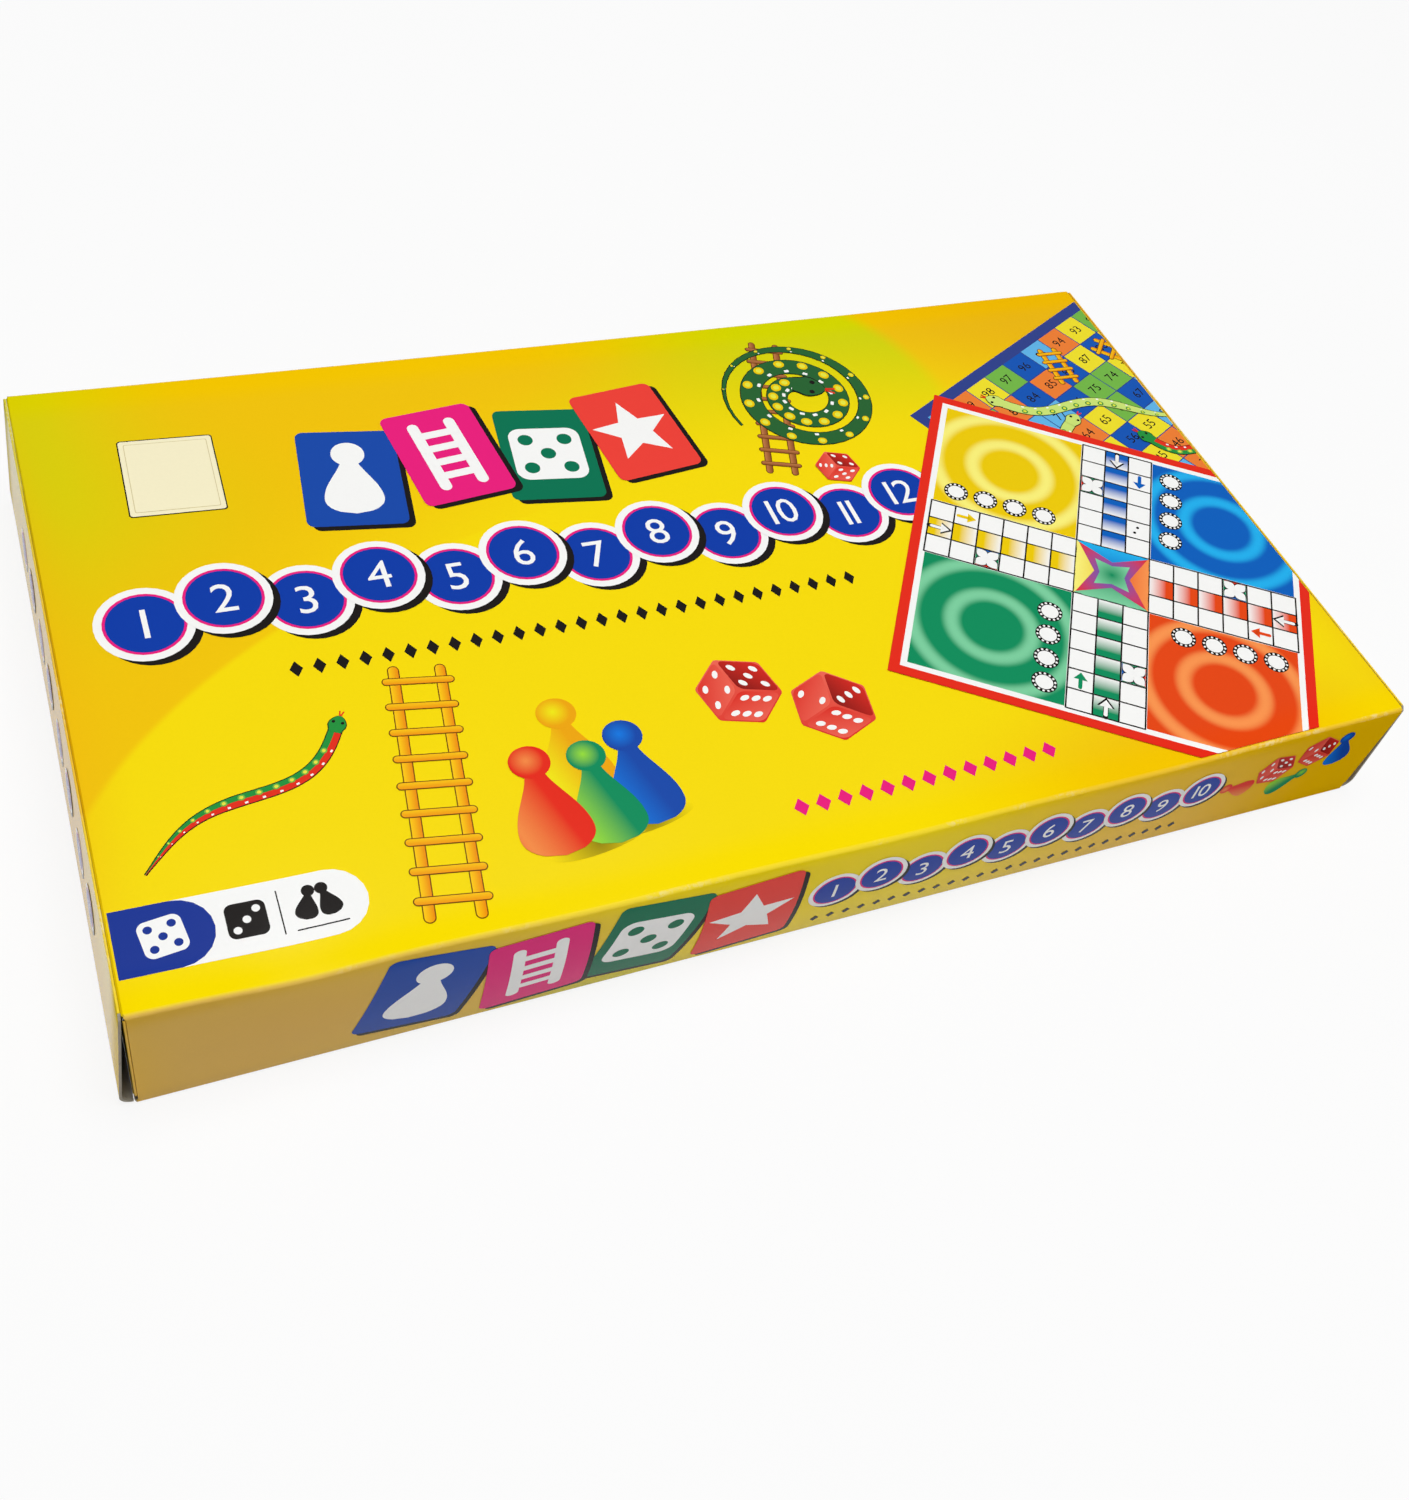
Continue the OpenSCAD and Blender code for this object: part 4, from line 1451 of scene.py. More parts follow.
def draw_token_spot(pen, radius):
    """A white spot for a token, in a dark rim with white dots."""
    pen.fill(disc(radius), "black")
    reach = TOKEN_RING_SHARE * radius
    for k in range(TOKEN_DOTS):
        angle = TURN * k / TOKEN_DOTS
        dot = pen.at(reach * math.cos(angle), reach * math.sin(angle), lift=1)
        dot.fill(disc(TOKEN_DOT_SHARE * radius, steps=TOKEN_DOT_STEPS), "white")
    pen.fill(disc(TOKEN_MIDDLE_SHARE * radius), "white", lift=1)


SAFE_CORNERS = ("yard_blue", "yard_green", "cross_red", "yard_green")
PETALS = ((0.29, "black"), (0.24, "white"))
PETAL_REACH = 1.32
PETAL_STEPS = 11


def draw_safe_cell(pen, cell):
    """A cell with four outlined leaves over four coloured corners."""
    half = cell / 2
    share = np.linspace(0, 1, PETAL_STEPS)
    along = PETAL_REACH * half * share
    for k, colour in enumerate(SAFE_CORNERS):
        pen.at(0, 0, turn=-90 * k).fill(np.array(((0, 0), (half, half), (-half, half))), colour)
        leaf = pen.at(0, 0, turn=45 + 90 * k)
        for lift, (girth, petal) in enumerate(PETALS, 1):
            side = girth * cell * np.sin(math.pi * share)
            upper, lower = np.column_stack((along, side)), np.column_stack((along, -side))
            leaf.fill(np.vstack((upper, lower[::-1][1:-1])), petal, lift=lift)


ARROW_HEAD_SHARES = np.array(((-0.38, 0.05), (0.38, 0.05), (0, 0.55)))


def draw_arrow(pen, size, colour):
    """A small arrow that points up."""
    foot, neck, half_shaft = -0.5 * size, 0.2 * size, 0.11 * size
    pen.fill(bar((0, foot), (0, neck), half_shaft), colour)
    pen.fill(size * ARROW_HEAD_SHARES, colour)


YARDS = (("yard_yellow", "glow_yellow"), ("yard_green", "glow_green"),
         ("yard_red", "glow_red"), ("yard_blue", "glow_blue"))
CROSS_BORDER_SHARE = 0.025
CROSS_KEYLINE_SHARE = 0.012
CROSS_CELLS = 15
CROSS_LINE_SHARE = 0.032
YARD_RINGS = 1.9
# Parts of the cross board by its cell: a yard with its row of token spots, an arm, and the home square
YARD_SIDE = 5.9
YARD_MIDDLE = 4.5
YARD_RING_REACH = 3
TOKENS = 4
TOKEN_START = 1.7
TOKEN_PITCH = 1.22
TOKEN_DROP = 2.15
TOKEN_RADIUS = 0.5
ARM_CELLS = 6
HALF_ARM = 1.5
HOME_COLUMN_FADE = (0.5, -0.2)
SAFE_SIDE = 0.92
TURN_ARROW = 0.7
ENTRY_ARROWS = ((2, 0.9, "black"), (3, 0.68, "white"))
WEDGE_FADE = 1.6
HOME_STAR = (2.0, 0.72)
HOME_MIDDLE = (1.0, 0.5)
HOME_MIDDLE_FADE = 0.9


def draw_yard(pen, cell, colour, glow):
    """A ringed yard with four token spots."""
    side = YARD_SIDE * cell
    pen.fill(block(side, side), colour, glow, around((0, 0), YARD_RING_REACH * cell, YARD_RINGS))
    for spot in range(TOKENS):
        along = (spot - TOKEN_START) * TOKEN_PITCH * cell
        draw_token_spot(pen.at(along, -TOKEN_DROP * cell, lift=1), TOKEN_RADIUS * cell)


def draw_arm(pen, cell, colour, glow):
    """One arm of the cross with its home column, ruled lines, arrows and wedge of the home square."""
    line = CROSS_LINE_SHARE * cell
    half = HALF_ARM * cell
    inner, outer = -half, -(HALF_ARM + ARM_CELLS) * cell
    fade = across(*((place * cell, 0) for place in HOME_COLUMN_FADE))
    for step in range(ARM_CELLS):
        pen.at(-(2 + step) * cell, 0).fill(block(cell - line, cell - line), "white", colour, fade)
    for row in (-1.5, -0.5, 0.5, 1.5):
        pen.fill(bar((outer, row * cell), (inner, row * cell), line), "black", lift=1)
    for column in range(ARM_CELLS + 1):
        x = -(HALF_ARM + column) * cell
        pen.fill(bar((x, -half), (x, half), line), "black", lift=1)
    draw_safe_cell(pen.at(-5 * cell, -cell, lift=2), SAFE_SIDE * cell)
    draw_arrow(pen.at(-6 * cell, cell, turn=-90, lift=2), TURN_ARROW * cell, colour)
    for lift, size, shade in ENTRY_ARROWS:
        draw_arrow(pen.at(-7 * cell, 0, turn=-90, lift=lift), size * cell, shade)
    wedge = np.array(((0, 0), (inner, -half), (inner, half)))
    pen.fill(wedge, colour, glow, across((0, 0), (-WEDGE_FADE * cell, 0)), lift=1)


def draw_cross_board(pen, side, corner=0.0):
    """The traditional cross and circle board: four yards, four arms and a home square."""
    border, keyline = CROSS_BORDER_SHARE * side, CROSS_KEYLINE_SHARE * side
    cell = (side - 2 * (border + keyline)) / CROSS_CELLS
    pen.fill(block(side, side, corner), "cross_red")
    pen.fill(block(side - 2 * border, side - 2 * border), "white", lift=1)
    for k, (colour, glow) in enumerate(YARDS):
        quarter = pen.at(0, 0, turn=90 * k, lift=2)
        draw_yard(quarter.at(-YARD_MIDDLE * cell, YARD_MIDDLE * cell), cell, colour, glow)
        draw_arm(quarter, cell, colour, glow)
    home = pen.at(0, 0, turn=45, lift=5)
    outer, inner = (share * cell for share in HOME_STAR)
    home.fill(star(4, outer, inner), "yard_blue", "cross_red", around((0, 0), outer))
    middle = star(4, *(share * cell for share in HOME_MIDDLE))
    home.fill(middle, "yard_green", "glow_green", around((0, 0), HOME_MIDDLE_FADE * cell), lift=1)


CELL_INKS = ("cell_blue", "cell_yellow", "cell_sky", "cell_lime", "cell_orange")
NUMBER_FRAME_SHARE = 0.034
NUMBER_LINE_SHARE = 0.035
ROWS_OF_TEN = 10
# Numbers, ladders and snakes of the number board by its cell, and the waves of a snake
NUMBER_SHARE = 0.3
LADDER_WIDTH_SHARE = 0.5
LADDER_RAIL_SHARE = 0.075
RUNGS_TO_A_CELL = 2.4
SNAKE_WAVE_SHARE = 0.34
SNAKE_GIRTH_SHARE = 0.17
SNAKE_TURNS = 1.5
# Foot and head of each ladder, and tail and head of each snake, by column and row
BOARD_LADDERS = (((1, 0), (3, 3)), ((8, 1), (9, 4)), ((8, 5.4), (6.9, 8.2)),
                 ((4.6, 7.7), (5.3, 9)), ((5, 1), (6, 3)))
BOARD_SNAKES = (((6.8, 4.3), (1.9, 8.5)), ((7.4, 1), (4.4, 4.6)),
                ((0, 3.6), (3, 6.6)), ((3.4, 0.4), (0.6, 2.6)))
SNAKE_INKS = (("snake_pale", "snake_green"), ("snake_red", "cell_lime", "snake_green"))


def cell_middle(cell, column, row):
    """Middle of a cell of the number board."""
    middle = (ROWS_OF_TEN - 1) / 2
    return np.array((column - middle, row - middle)) * cell


def pen_between(pen, start, end, lift):
    """A pen at the start that faces the end along X, and the distance."""
    way = end - start
    turn = math.degrees(math.atan2(way[1], way[0]))
    return pen.at(*start, turn=turn, lift=lift), float(np.linalg.norm(way))


def draw_number_board(pen, side, corner=0.0):
    """The traditional board of a hundred numbered cells, with ladders up and snakes down."""
    cell = (side - 2 * NUMBER_FRAME_SHARE * side) / ROWS_OF_TEN
    pen.fill(block(side, side, corner), "navy")
    width = cell - NUMBER_LINE_SHARE * cell
    for row in range(ROWS_OF_TEN):
        for column in range(ROWS_OF_TEN):
            step = column if row % 2 == 0 else ROWS_OF_TEN - 1 - column
            colour = CELL_INKS[(2 * column + 3 * row + (column * row) % 3) % len(CELL_INKS)]
            square = pen.at(*cell_middle(cell, column, row), lift=1)
            square.fill(block(width, width), colour)
            square.number(ROWS_OF_TEN * row + step + 1, NUMBER_SHARE * cell, "black", lift=1)
    width, rail = LADDER_WIDTH_SHARE * cell, LADDER_RAIL_SHARE * cell
    for foot, head in BOARD_LADDERS:
        along, length = pen_between(pen, cell_middle(cell, *foot), cell_middle(cell, *head), lift=3)
        rungs = round(length / cell * RUNGS_TO_A_CELL)
        draw_ladder(along.at(0, 0, turn=-90), length, width, rungs, rail)
    for k, (tail, head) in enumerate(BOARD_SNAKES):
        along, length = pen_between(pen, cell_middle(cell, *tail), cell_middle(cell, *head), lift=7)
        line = snake_line(length, SNAKE_WAVE_SHARE * cell, SNAKE_TURNS)
        draw_snake(along, line, SNAKE_GIRTH_SHARE * cell, *SNAKE_INKS[k % len(SNAKE_INKS)])


# Pawns on the carton by place, turn, size, layer and inks, and dice by place, size, layer, values and turn
TOP_PAWNS = (
    (-64, -70, 0, 1.24, 1, "pawn_amber", "yellow_light"),
    (-50, -80.7, -1, 1.24, 3, "tile_blue", "blue_light"),
    (-60.8, -83.7, 0, 1.2, 5, "yard_green", "green_light"),
    (-75, -83.8, 1, 1.26, 7, "cross_red", "orange_light"),
)
TOP_DICE = (
    (52, 30, 0.6, 10, (5, 3, 4), 12),
    (-13.5, -45.5, 1.0, 0, (6, 4, 5), 14),
    (10.5, -56, 1.0, 0, (6, 2, 3), -8),
)
PAWN_SHADOWS = ((-66, -82.4), (-52, -79.2))
SHADOW_REACH = 13
SIDE_PAWNS = (
    (133, 18, 72, 0.5, 0, "cross_red", "orange_light"),
    (141, 13, -64, 0.55, 0, "yard_green", "green_light"),
    (164, 19, 8, 0.6, 0, "tile_blue", "blue_light"),
)
SIDE_DICE = (
    (139, 25, 0.58, 2, (6, 4, 5), 20),
    (153, 29, 0.58, 2, (6, 2, 3), -4),
)


def draw_top(pen):
    """All the print on the carton's top, placed about the middle of the panel."""
    draw_label(pen.at(-141.4, 60.6, turn=-2))
    draw_tiles(pen.at(-94, 54), pitch=29.4)
    draw_stones(pen.at(-157, 10.5), count=12, pitch=20.4, radius=12.4, rise=0.25, sway=2.4)
    draw_diamonds(pen.at(-124, -14), count=28, pitch=5.9, width=3.4, height=5.2, colour="black")
    draw_ladder(pen.at(33.6, 31, turn=-17.4), length=60, width=8, rungs=10, rail=0.9,
                light="wood_light", dark="wood")
    draw_coil(pen.at(54, 62, lift=4))
    small_snake = snake_line(length=59, wave=5.4, turns=1.0)
    draw_snake(pen.at(-169, -66, turn=32), small_snake, 1.6, "snake_red", "cell_lime", "snake_green")
    draw_ladder(pen.at(-105.2, -93.2, turn=-8.2), length=73.5, width=12, rungs=9)
    draw_pill(pen.at(-145.5, -82.4))
    for x, y in PAWN_SHADOWS:
        fade = around((0, 0), SHADOW_REACH)
        pen.at(x, y, turn=8).fill(disc(SHADOW_REACH, stretch=0.22), "shade", "carton_yellow", fade)
    draw_pawns(pen, TOP_PAWNS)
    draw_dice(pen, TOP_DICE)
    draw_diamonds(pen.at(-12, -85), count=13, pitch=6.3, width=4.4, height=5.4, colour="pink")
    draw_number_board(pen.at(167.4, 20.6, turn=26.5), side=120)
    draw_cross_board(pen.at(117.6, -31.3, turn=-33.6, lift=12), side=125)


def draw_side(pen):
    """The print on the carton's front and back, placed from the middle of the lower edge."""
    draw_tiles(pen.skewed(-114, 20.6, right=(0.92, 0), up=(0.12, 0.8)), pitch=30.5, sway=-1.0)
    draw_stones(pen.at(-6, 23.5), count=10, pitch=13.1, radius=7.6, rise=0.0, sway=1.3)
    draw_diamonds(pen.at(-8, 7.4), count=26, pitch=4.7, width=2.6, height=3.2, colour="black")
    draw_pawns(pen, SIDE_PAWNS)
    draw_dice(pen, SIDE_DICE)


def draw_end(pen):
    """The print on the carton's ends, placed from the middle of the lower edge."""
    draw_stones(pen.at(-59.5, 21), count=8, pitch=17, radius=5.6, rise=0.0, sway=0.8)


def panel_print(name, draw, surface, limits, cells=(1, 1), body="carton", slot="carton_print"):
    """Prints one drawing on one surface as a film that rides on its body."""
    press = Press()
    draw(Pen(press))
    material = material_for("glossy_inks", inks_material)
    dress(press.film(name, surface, limits, cells, material), body, slot)


def top_surface(u, v, height):
    """Top panel: along the carton, across it, and above the card."""
    flat = settle(np.column_stack((u * MM, v * MM, np.full(len(u), HEIGHT))))
    flat[:, 2] += height * MM
    return flat


def side_surface(way):
    """Front (-1) or back (1) panel: along the carton as it is read, up it, and out from the card."""
    def surface(u, v, height):
        flat = settle(np.column_stack((-way * u * MM, np.full(len(u), way * HALF_DEPTH), v * MM)))
        flat[:, 1] += way * height * MM
        return flat
    return surface


def end_surface(sign):
    """End panel: across the carton as it is read, up the leaning card, and out from it."""
    rows = closure_rows()
    (top, normal, *_), (low, *_) = rows[0], rows[SHOULDER_ROWS]
    down = (low - top) / np.linalg.norm(low - top)

    def surface(u, v, height):
        drop = (HEIGHT - v * MM)[:, None] * down
        spot = top + drop + (HALF_CARD + height * MM)[:, None] * normal
        return np.column_stack((sign * spot[:, 0], sign * u * MM, spot[:, 1]))
    return surface


def leaf_surface(level, up):
    """A face of a leaf at a level, which is read from above (1) or, turned over, from below (-1)."""
    def surface(u, v, height):
        z = np.full(len(u), level) + up * height * MM
        return np.column_stack((FOLD.x + u * MM, FOLD.y + up * v * MM, z))
    return surface


def build_leaf(leaf, body, low, high):
    """The core of one leaf of the board, thinner by its two printed sheets, with rounded free corners."""
    pieces = bpy.context.scene.game_pieces
    corners = [(low.x, low.y), (high.x, low.y), (high.x, high.y), (low.x, high.y)]
    outline = rounded(corners, [0, 0, pieces.leaf_corner, pieces.leaf_corner])
    levels = low.z + pieces.print_depth, high.z - pieces.print_depth
    points, faces = slab(*([(*p, z) for p in outline] for z in levels))
    core = add_piece(f"{leaf}_core", points, faces, [material_for("pressed_board_core", leaf_core_material)])
    dress(core, body, "board_face", leaf)


# The stage: lamps by the setting of their power, side and place, and how white the surroundings are
LAMPS = {
    "key_lamp": ("key_power", 1.4, (0.05, -0.15, 2.2)),
    "fill_lamp": ("fill_power", 1.2, (-1.0, -0.8, 1.1)),
}
NEAR_CLIP = 0.01
FLOOR_GAP = 0.05 * MM
FLOOR_CLOUD_SCALE = 3.0
FLOOR_CLOUDS = (0.3, 0.7)
FLOOR_TONES = (0.78, 0.82)
FLOOR_ROUGHNESS = 0.9
FLOOR_WHITE_SHARE = 0.86
HORIZON = (0.08, 0.5)
OVERHEAD = (0.1, 0.1, 0.1)


def seen_directly(tree):
    """One for the camera and for mirrored and clear views, where the surroundings show white."""
    path = tree.nodes.new("ShaderNodeLightPath").outputs
    seen = maths(tree, "MAXIMUM", path["Is Camera Ray"], path["Is Glossy Ray"])
    return maths(tree, "MAXIMUM", seen, path["Is Transmission Ray"])


class GAME_OT_stage(bpy.types.Operator):
    """Sets the camera, the pale floor and the soft lights"""
    bl_idname = "game.stage"
    bl_label = "Stage"

    def execute(self, context):
        stage = context.scene.game_stage
        context.scene.view_settings.view_transform = "Standard"
        context.scene.camera = self.add_camera(stage)
        self.add_floor(stage)
        for name, (power, size, place) in LAMPS.items():
            self.add_lamp(name, getattr(stage, power), size, Vector(place))
        context.scene.world = self.new_world(stage)
        return {"FINISHED"}

    def add_camera(self, stage):
        """A camera at the photograph's viewing angle."""
        camera = new_object("camera", bpy.data.cameras.new("camera"))
        ahead = Vector(stage.camera_ahead).normalized()
        right = Vector(stage.camera_right).normalized()
        turn = Matrix((right, right.cross(ahead), -ahead)).transposed().to_4x4()
        camera.matrix_world = Matrix.Translation(stage.camera_place) @ turn
        camera.data.lens = stage.lens
        camera.data.shift_y = stage.shift
        camera.data.clip_start = NEAR_CLIP
        return camera

    def add_floor(self, stage):
        """A square floor just under the carton."""
        half = stage.floor_size / 2
        mesh = bpy.data.meshes.new("floor")
        mesh.from_pydata([(-half, -half, 0), (half, -half, 0), (half, half, 0), (-half, half, 0)],
                         [], [(0, 1, 2, 3)])
        mesh.materials.append(self.floor_material())
        floor = new_object("floor", mesh)
        floor.location.z = CAD_BOX[0][2] - FLOOR_GAP

    def floor_material(self):
        """Pale matt floor that shows nearly white and still takes a shadow."""
        material, tree, shader, place = new_material("pale_floor")
        tone = ramped(tree, noise(tree, place, FLOOR_CLOUD_SCALE), *FLOOR_CLOUDS, *FLOOR_TONES)
        grey = node(tree, "ShaderNodeCombineColor", {0: tone, 1: tone, 2: tone})
        set_inputs(tree, shader, {
            "Base Color": grey, "Roughness": FLOOR_ROUGHNESS, "Specular IOR Level": 0.0})
        glow = node(tree, "ShaderNodeEmission", {"Color": WHITE, "Strength": 1.0})
        share = maths(tree, "MULTIPLY", seen_directly(tree), FLOOR_WHITE_SHARE)
        both = node(tree, "ShaderNodeMixShader", {0: share, 1: shader.outputs[0], 2: glow})
        feed(tree, tree.nodes["Material Output"].inputs["Surface"], both)
        return material

    def add_lamp(self, name, power, size, place):
        """A square lamp that faces the middle of the carton."""
        data = bpy.data.lights.new(name, "AREA")
        data.energy = power
        data.size = size
        turn = (-place).to_track_quat("-Z", "Y").to_matrix().to_4x4()
        new_object(name, data).matrix_world = Matrix.Translation(place) @ turn

    def new_world(self, stage):
        """Surroundings that are white at the horizon and grey overhead."""
        world = bpy.data.worlds.new("surroundings")
        world.use_nodes = True
        tree = world.node_tree
        height = split(tree, node(tree, "ShaderNodeTexCoord", output="Generated"))["Z"]
        colour = mixed(tree, ramped(tree, height, *HORIZON), WHITE, OVERHEAD)
        background = tree.nodes["Background"].inputs
        feed(tree, background["Color"], colour)
        feed(tree, background["Strength"], between(tree, seen_directly(tree), stage.sky, 1.0))
        return world


class GAME_OT_carton_tube(bpy.types.Operator):
    """Folds the printed tube of the carton"""
    bl_idname = "game.carton_tube"
    bl_label = "Carton Tube"

    def execute(self, context):
        build_tube()
        return {"FINISHED"}


class GAME_OT_end_flaps(bpy.types.Operator):
    """Makes the end panels, tuck flaps and dust flaps"""
    bl_idname = "game.end_flaps"
    bl_label = "End Flaps"

    def execute(self, context):
        for end, sign in ENDS.items():
            build_closure(end, sign)
            build_tuck(end, sign)
            for side, way in SIDES.items():
                build_dust_flap(end, sign, side, way)
        return {"FINISHED"}


# Lower and upper margins of the print on an end, and the margin along the board's fold, in millimetres
END_PRINT_MARGINS = (6, 2)
FOLD_MARGIN = 0.6


class GAME_OT_carton_print(bpy.types.Operator):
    """Prints the carton's top, sides and ends"""
    bl_idname = "game.carton_print"
    bl_label = "Carton Print"

    def execute(self, context):
        edge = (HALF_DEPTH - CREASE_RADIUS) / MM
        reach = (TOP_HIGH.x - 2 * context.scene.game_card.fold_relief) / MM
        limits = (-reach, -edge, reach, edge)
        panel_print("top_print", draw_top, top_surface, limits, (TUBE_COLUMNS, TOP_ROWS))
        side = FRONT_HIGH.x / MM
        limits = (-side, CREASE_RADIUS / MM, side, (HEIGHT - CREASE_RADIUS) / MM)
        for panel, way in SIDES.items():
            panel_print(f"{panel}_print", draw_side, side_surface(way), limits, (TUBE_COLUMNS, FRONT_ROWS))
        wide = (CLOSURE_HIGH.y - CREASE_RADIUS) / MM
        lower, upper = END_PRINT_MARGINS
        limits = (-wide, lower, wide, HEIGHT / MM - upper)
        for end, sign in ENDS.items():
            panel_print(f"{end}_end_print", draw_end, end_surface(sign), limits, body=f"{end}_closure")
        return {"FINISHED"}


class GAME_OT_board(bpy.types.Operator):
    """Makes the folding board with a number board outside and a cross board inside"""
    bl_idname = "game.board"
    bl_label = "Game Board"

    def execute(self, context):
        pieces = context.scene.game_pieces
        build_leaf("board_lower_leaf", "board", LOWER_LOW, LOWER_HIGH)
        build_leaf("board_upper_leaf", "upper_leaf", UPPER_LOW, UPPER_HIGH)
        depth, corner = pieces.print_depth, pieces.leaf_corner / MM
        reach, wide = (LOWER_HIGH.x - LOWER_LOW.x) / 2 / MM, (LOWER_HIGH.y - LOWER_LOW.y) / MM
        far, near = (-reach, FOLD_MARGIN, reach, wide), (-reach, -wide, reach, -FOLD_MARGIN)
        faces = (
            ("upper_leaf_numbers", draw_number_board, 1, UPPER_HIGH.z - depth, "upper_leaf"),
            ("lower_leaf_numbers", draw_number_board, -1, LOWER_LOW.z + depth, "board"),
            ("lower_leaf_cross", draw_cross_board, 1, LOWER_HIGH.z - depth, "board"),
            ("upper_leaf_cross", draw_cross_board, -1, UPPER_LOW.z + depth, "upper_leaf"),
        )
        for name, draw, up, level, body in faces:
            panel_print(name, lambda pen: draw(pen, 2 * wide, corner), leaf_surface(level, up),
                        far if up > 0 else near, body=body, slot="board_face")
        finish_node("board_hinge_film", plastic_material("blue_hinge_film", tuple(pieces.hinge_film)))
        return {"FINISHED"}


class GAME_OT_pawns(bpy.types.Operator):
    """Gives the sixteen pawns their moulded plastic"""
    bl_idname = "game.pawns"
    bl_label = "Pawns"

    def execute(self, context):
        low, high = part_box("red_pawn_1")
        row = abs(low.y + high.y) / 2
        for colour in ("red", "green", "yellow", "blue"):
            shade = tuple(getattr(context.scene.game_pieces, f"pawn_{colour}"))
            material = plastic_material(f"{colour}_pawn_plastic", shade, row)
            for name in frame["nodes"]:
                if name.startswith(f"{colour}_pawn_"):
                    finish_node(name, material)
        return {"FINISHED"}


# Each face of a die: its value, and its turns about X and Y from the upper face
DIE_FACES = ((1, 0, 0), (6, math.pi, 0), (2, QUARTER, 0), (5, -QUARTER, 0), (3, 0, QUARTER), (4, 0, -QUARTER))
PAINT_THICKNESS = 0.2 * MM
DROP_SEGMENTS = 16
DROP_RINGS = 8


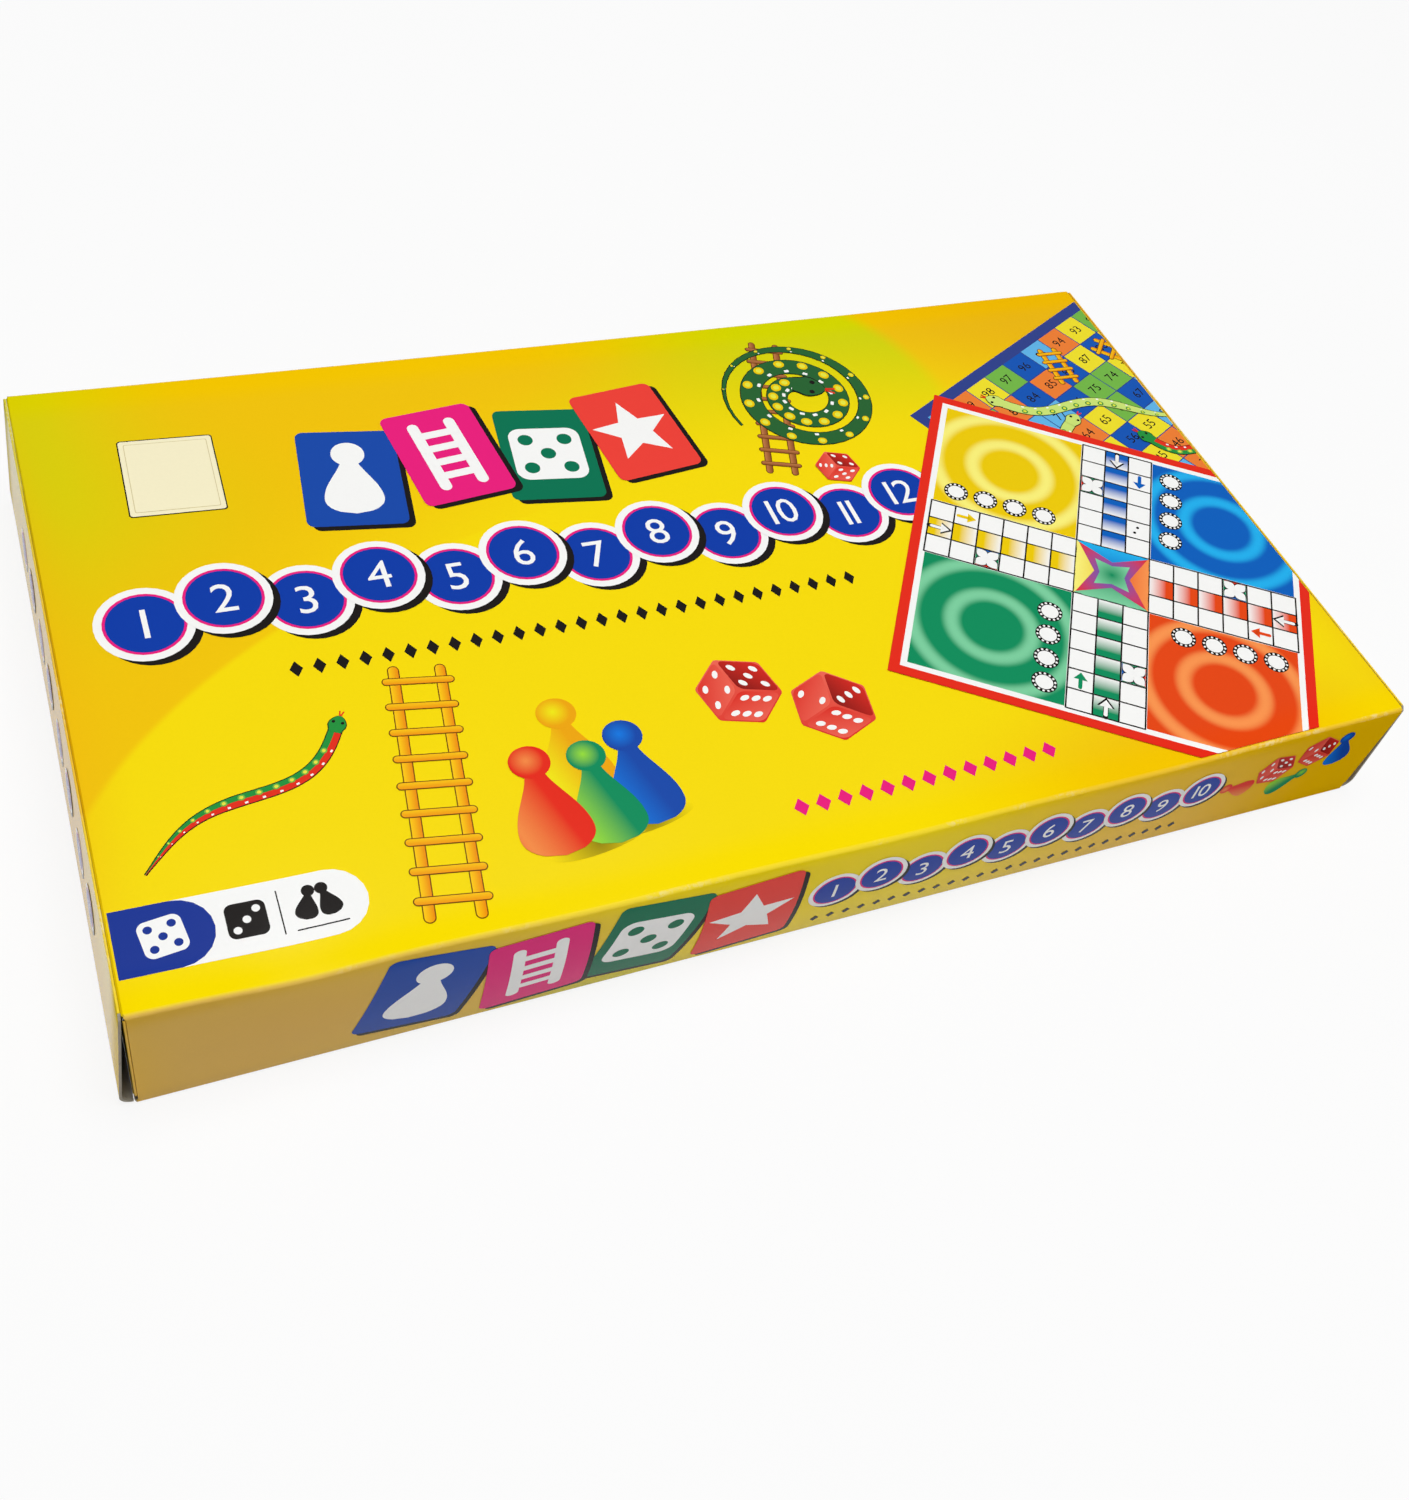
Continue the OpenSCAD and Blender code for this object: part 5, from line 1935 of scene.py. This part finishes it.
class GAME_OT_dice(bpy.types.Operator):
    """Gives the dice their plastic and fills their pips with white paint"""
    bl_idname = "game.dice"
    bl_label = "Dice"

    def execute(self, context):
        pieces = context.scene.game_pieces
        material = plastic_material("red_die_plastic", tuple(pieces.die))
        paint = plastic_material("white_pip_paint", tuple(pieces.pip))
        places = []
        for name in ("die_1", "die_2"):
            finish_node(name, material)
            places += self.pip_places(name, pieces)
        dress(self.fill_pips(context, pieces, places, paint), "dice", "die_red")
        return {"FINISHED"}

    def pip_places(self, name, pieces):
        """Places and directions of all the pips of one die."""
        low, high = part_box(name)
        middle, half = (low + high) / 2, (high.z - low.z) / 2
        places = []
        for value, about_x, about_y in DIE_FACES:
            turn = Matrix.Rotation(about_x, 3, "X") @ Matrix.Rotation(about_y, 3, "Y")
            for x, y in pip_steps(value):
                spot = Vector((x * pieces.pip_spread, y * pieces.pip_spread, half - pieces.pip_depth))
                places.append((middle + turn @ spot, turn @ Vector((0, 0, 1))))
        return places

    def fill_pips(self, context, pieces, places, paint):
        """Drops of paint on points, set by a node tree and made one plain mesh."""
        points, facings = zip(*places)
        cloud = bpy.data.meshes.new("pip_places")
        cloud.from_pydata(points, [], [])
        facing = cloud.attributes.new("facing", "FLOAT_VECTOR", "POINT")
        facing.data.foreach_set("vector", [part for way in facings for part in way])
        carrier = new_object("pip_places", cloud)
        tree = self.paint_tree(paint)
        painter = carrier.modifiers.new("paint", "NODES")
        painter.node_group = tree
        sockets = {s.name: s.identifier for s in tree.interface.items_tree if s.in_out == "INPUT"}
        painter[sockets["Radius"]] = pieces.pip_radius
        painter[sockets["Thickness"]] = PAINT_THICKNESS
        seen = carrier.evaluated_get(context.evaluated_depsgraph_get())
        mesh = bpy.data.meshes.new_from_object(seen)
        carrier.modifiers.remove(painter)
        bpy.data.objects.remove(carrier)
        return new_object("dice_pips", mesh)

    def paint_tree(self, paint):
        """A node tree that sets a flattened drop on every point, square to its facing."""
        tree = bpy.data.node_groups.new("pip_paint", "GeometryNodeTree")
        for label, way, kind in (("Geometry", "INPUT", "Geometry"), ("Radius", "INPUT", "Float"),
                                 ("Thickness", "INPUT", "Float"), ("Geometry", "OUTPUT", "Geometry")):
            tree.interface.new_socket(name=label, in_out=way, socket_type="NodeSocket" + kind)
        given = tree.nodes.new("NodeGroupInput").outputs
        drop = node(tree, "GeometryNodeMeshUVSphere", {
            "Segments": DROP_SEGMENTS, "Rings": DROP_RINGS, "Radius": 1.0})
        radius, thickness = given["Radius"], given["Thickness"]
        size = node(tree, "ShaderNodeCombineXYZ", {0: radius, 1: radius, 2: thickness})
        facing = node(tree, "GeometryNodeInputNamedAttribute", {"Name": "facing"}, data_type="FLOAT_VECTOR")
        turn = node(tree, "FunctionNodeAlignRotationToVector", {"Vector": facing}, axis="Z")
        drops = node(tree, "GeometryNodeInstanceOnPoints", {
            "Points": given["Geometry"], "Instance": drop, "Rotation": turn, "Scale": size})
        solid = node(tree, "GeometryNodeRealizeInstances", {0: drops})
        smooth = node(tree, "GeometryNodeSetShadeSmooth", {0: solid})
        painted = node(tree, "GeometryNodeSetMaterial", {0: smooth, "Material": paint})
        feed(tree, tree.nodes.new("NodeGroupOutput").inputs[0], painted)
        return tree


class GAME_PT_panel(bpy.types.Panel):
    """Lists the steps that dress the boxed game"""
    bl_label = "Game Set"
    bl_idname = "GAME_PT_panel"
    bl_space_type = "VIEW_3D"
    bl_region_type = "UI"
    bl_category = "Game Set"

    def draw(self, context):
        for step in STEPS:
            self.layout.operator(step.bl_idname)
        for group in GROUPS:
            box = self.layout.box()
            settings = getattr(context.scene, group)
            for key in type(settings).__annotations__:
                box.prop(settings, key)


GROUPS = {"game_card": GAME_PG_card, "game_pieces": GAME_PG_pieces,
          "game_stage": GAME_PG_stage, "game_inks": GAME_PG_inks}
STEPS = (GAME_OT_stage, GAME_OT_carton_tube, GAME_OT_end_flaps, GAME_OT_carton_print,
         GAME_OT_board, GAME_OT_pawns, GAME_OT_dice)


def register():
    for cls in (*GROUPS.values(), *STEPS, GAME_PT_panel):
        bpy.utils.register_class(cls)
    for name, cls in GROUPS.items():
        setattr(bpy.types.Scene, name, PointerProperty(type=cls))


def unregister():
    for name in GROUPS:
        delattr(bpy.types.Scene, name)
    for cls in (GAME_PT_panel, *reversed(STEPS), *reversed(tuple(GROUPS.values()))):
        bpy.utils.unregister_class(cls)


def main():
    """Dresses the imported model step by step."""
    register()
    load_digits()
    for make_group in (paper_grain_group, crease_wear_group, plastic_group):
        make_group()
    bpy.ops.game.stage()
    bpy.ops.game.carton_tube()
    bpy.ops.game.end_flaps()
    bpy.ops.game.carton_print()
    bpy.ops.game.board()
    bpy.ops.game.pawns()
    bpy.ops.game.dice()
    bpy.context.view_layer.update()


if __name__ == "__main__":
    main()
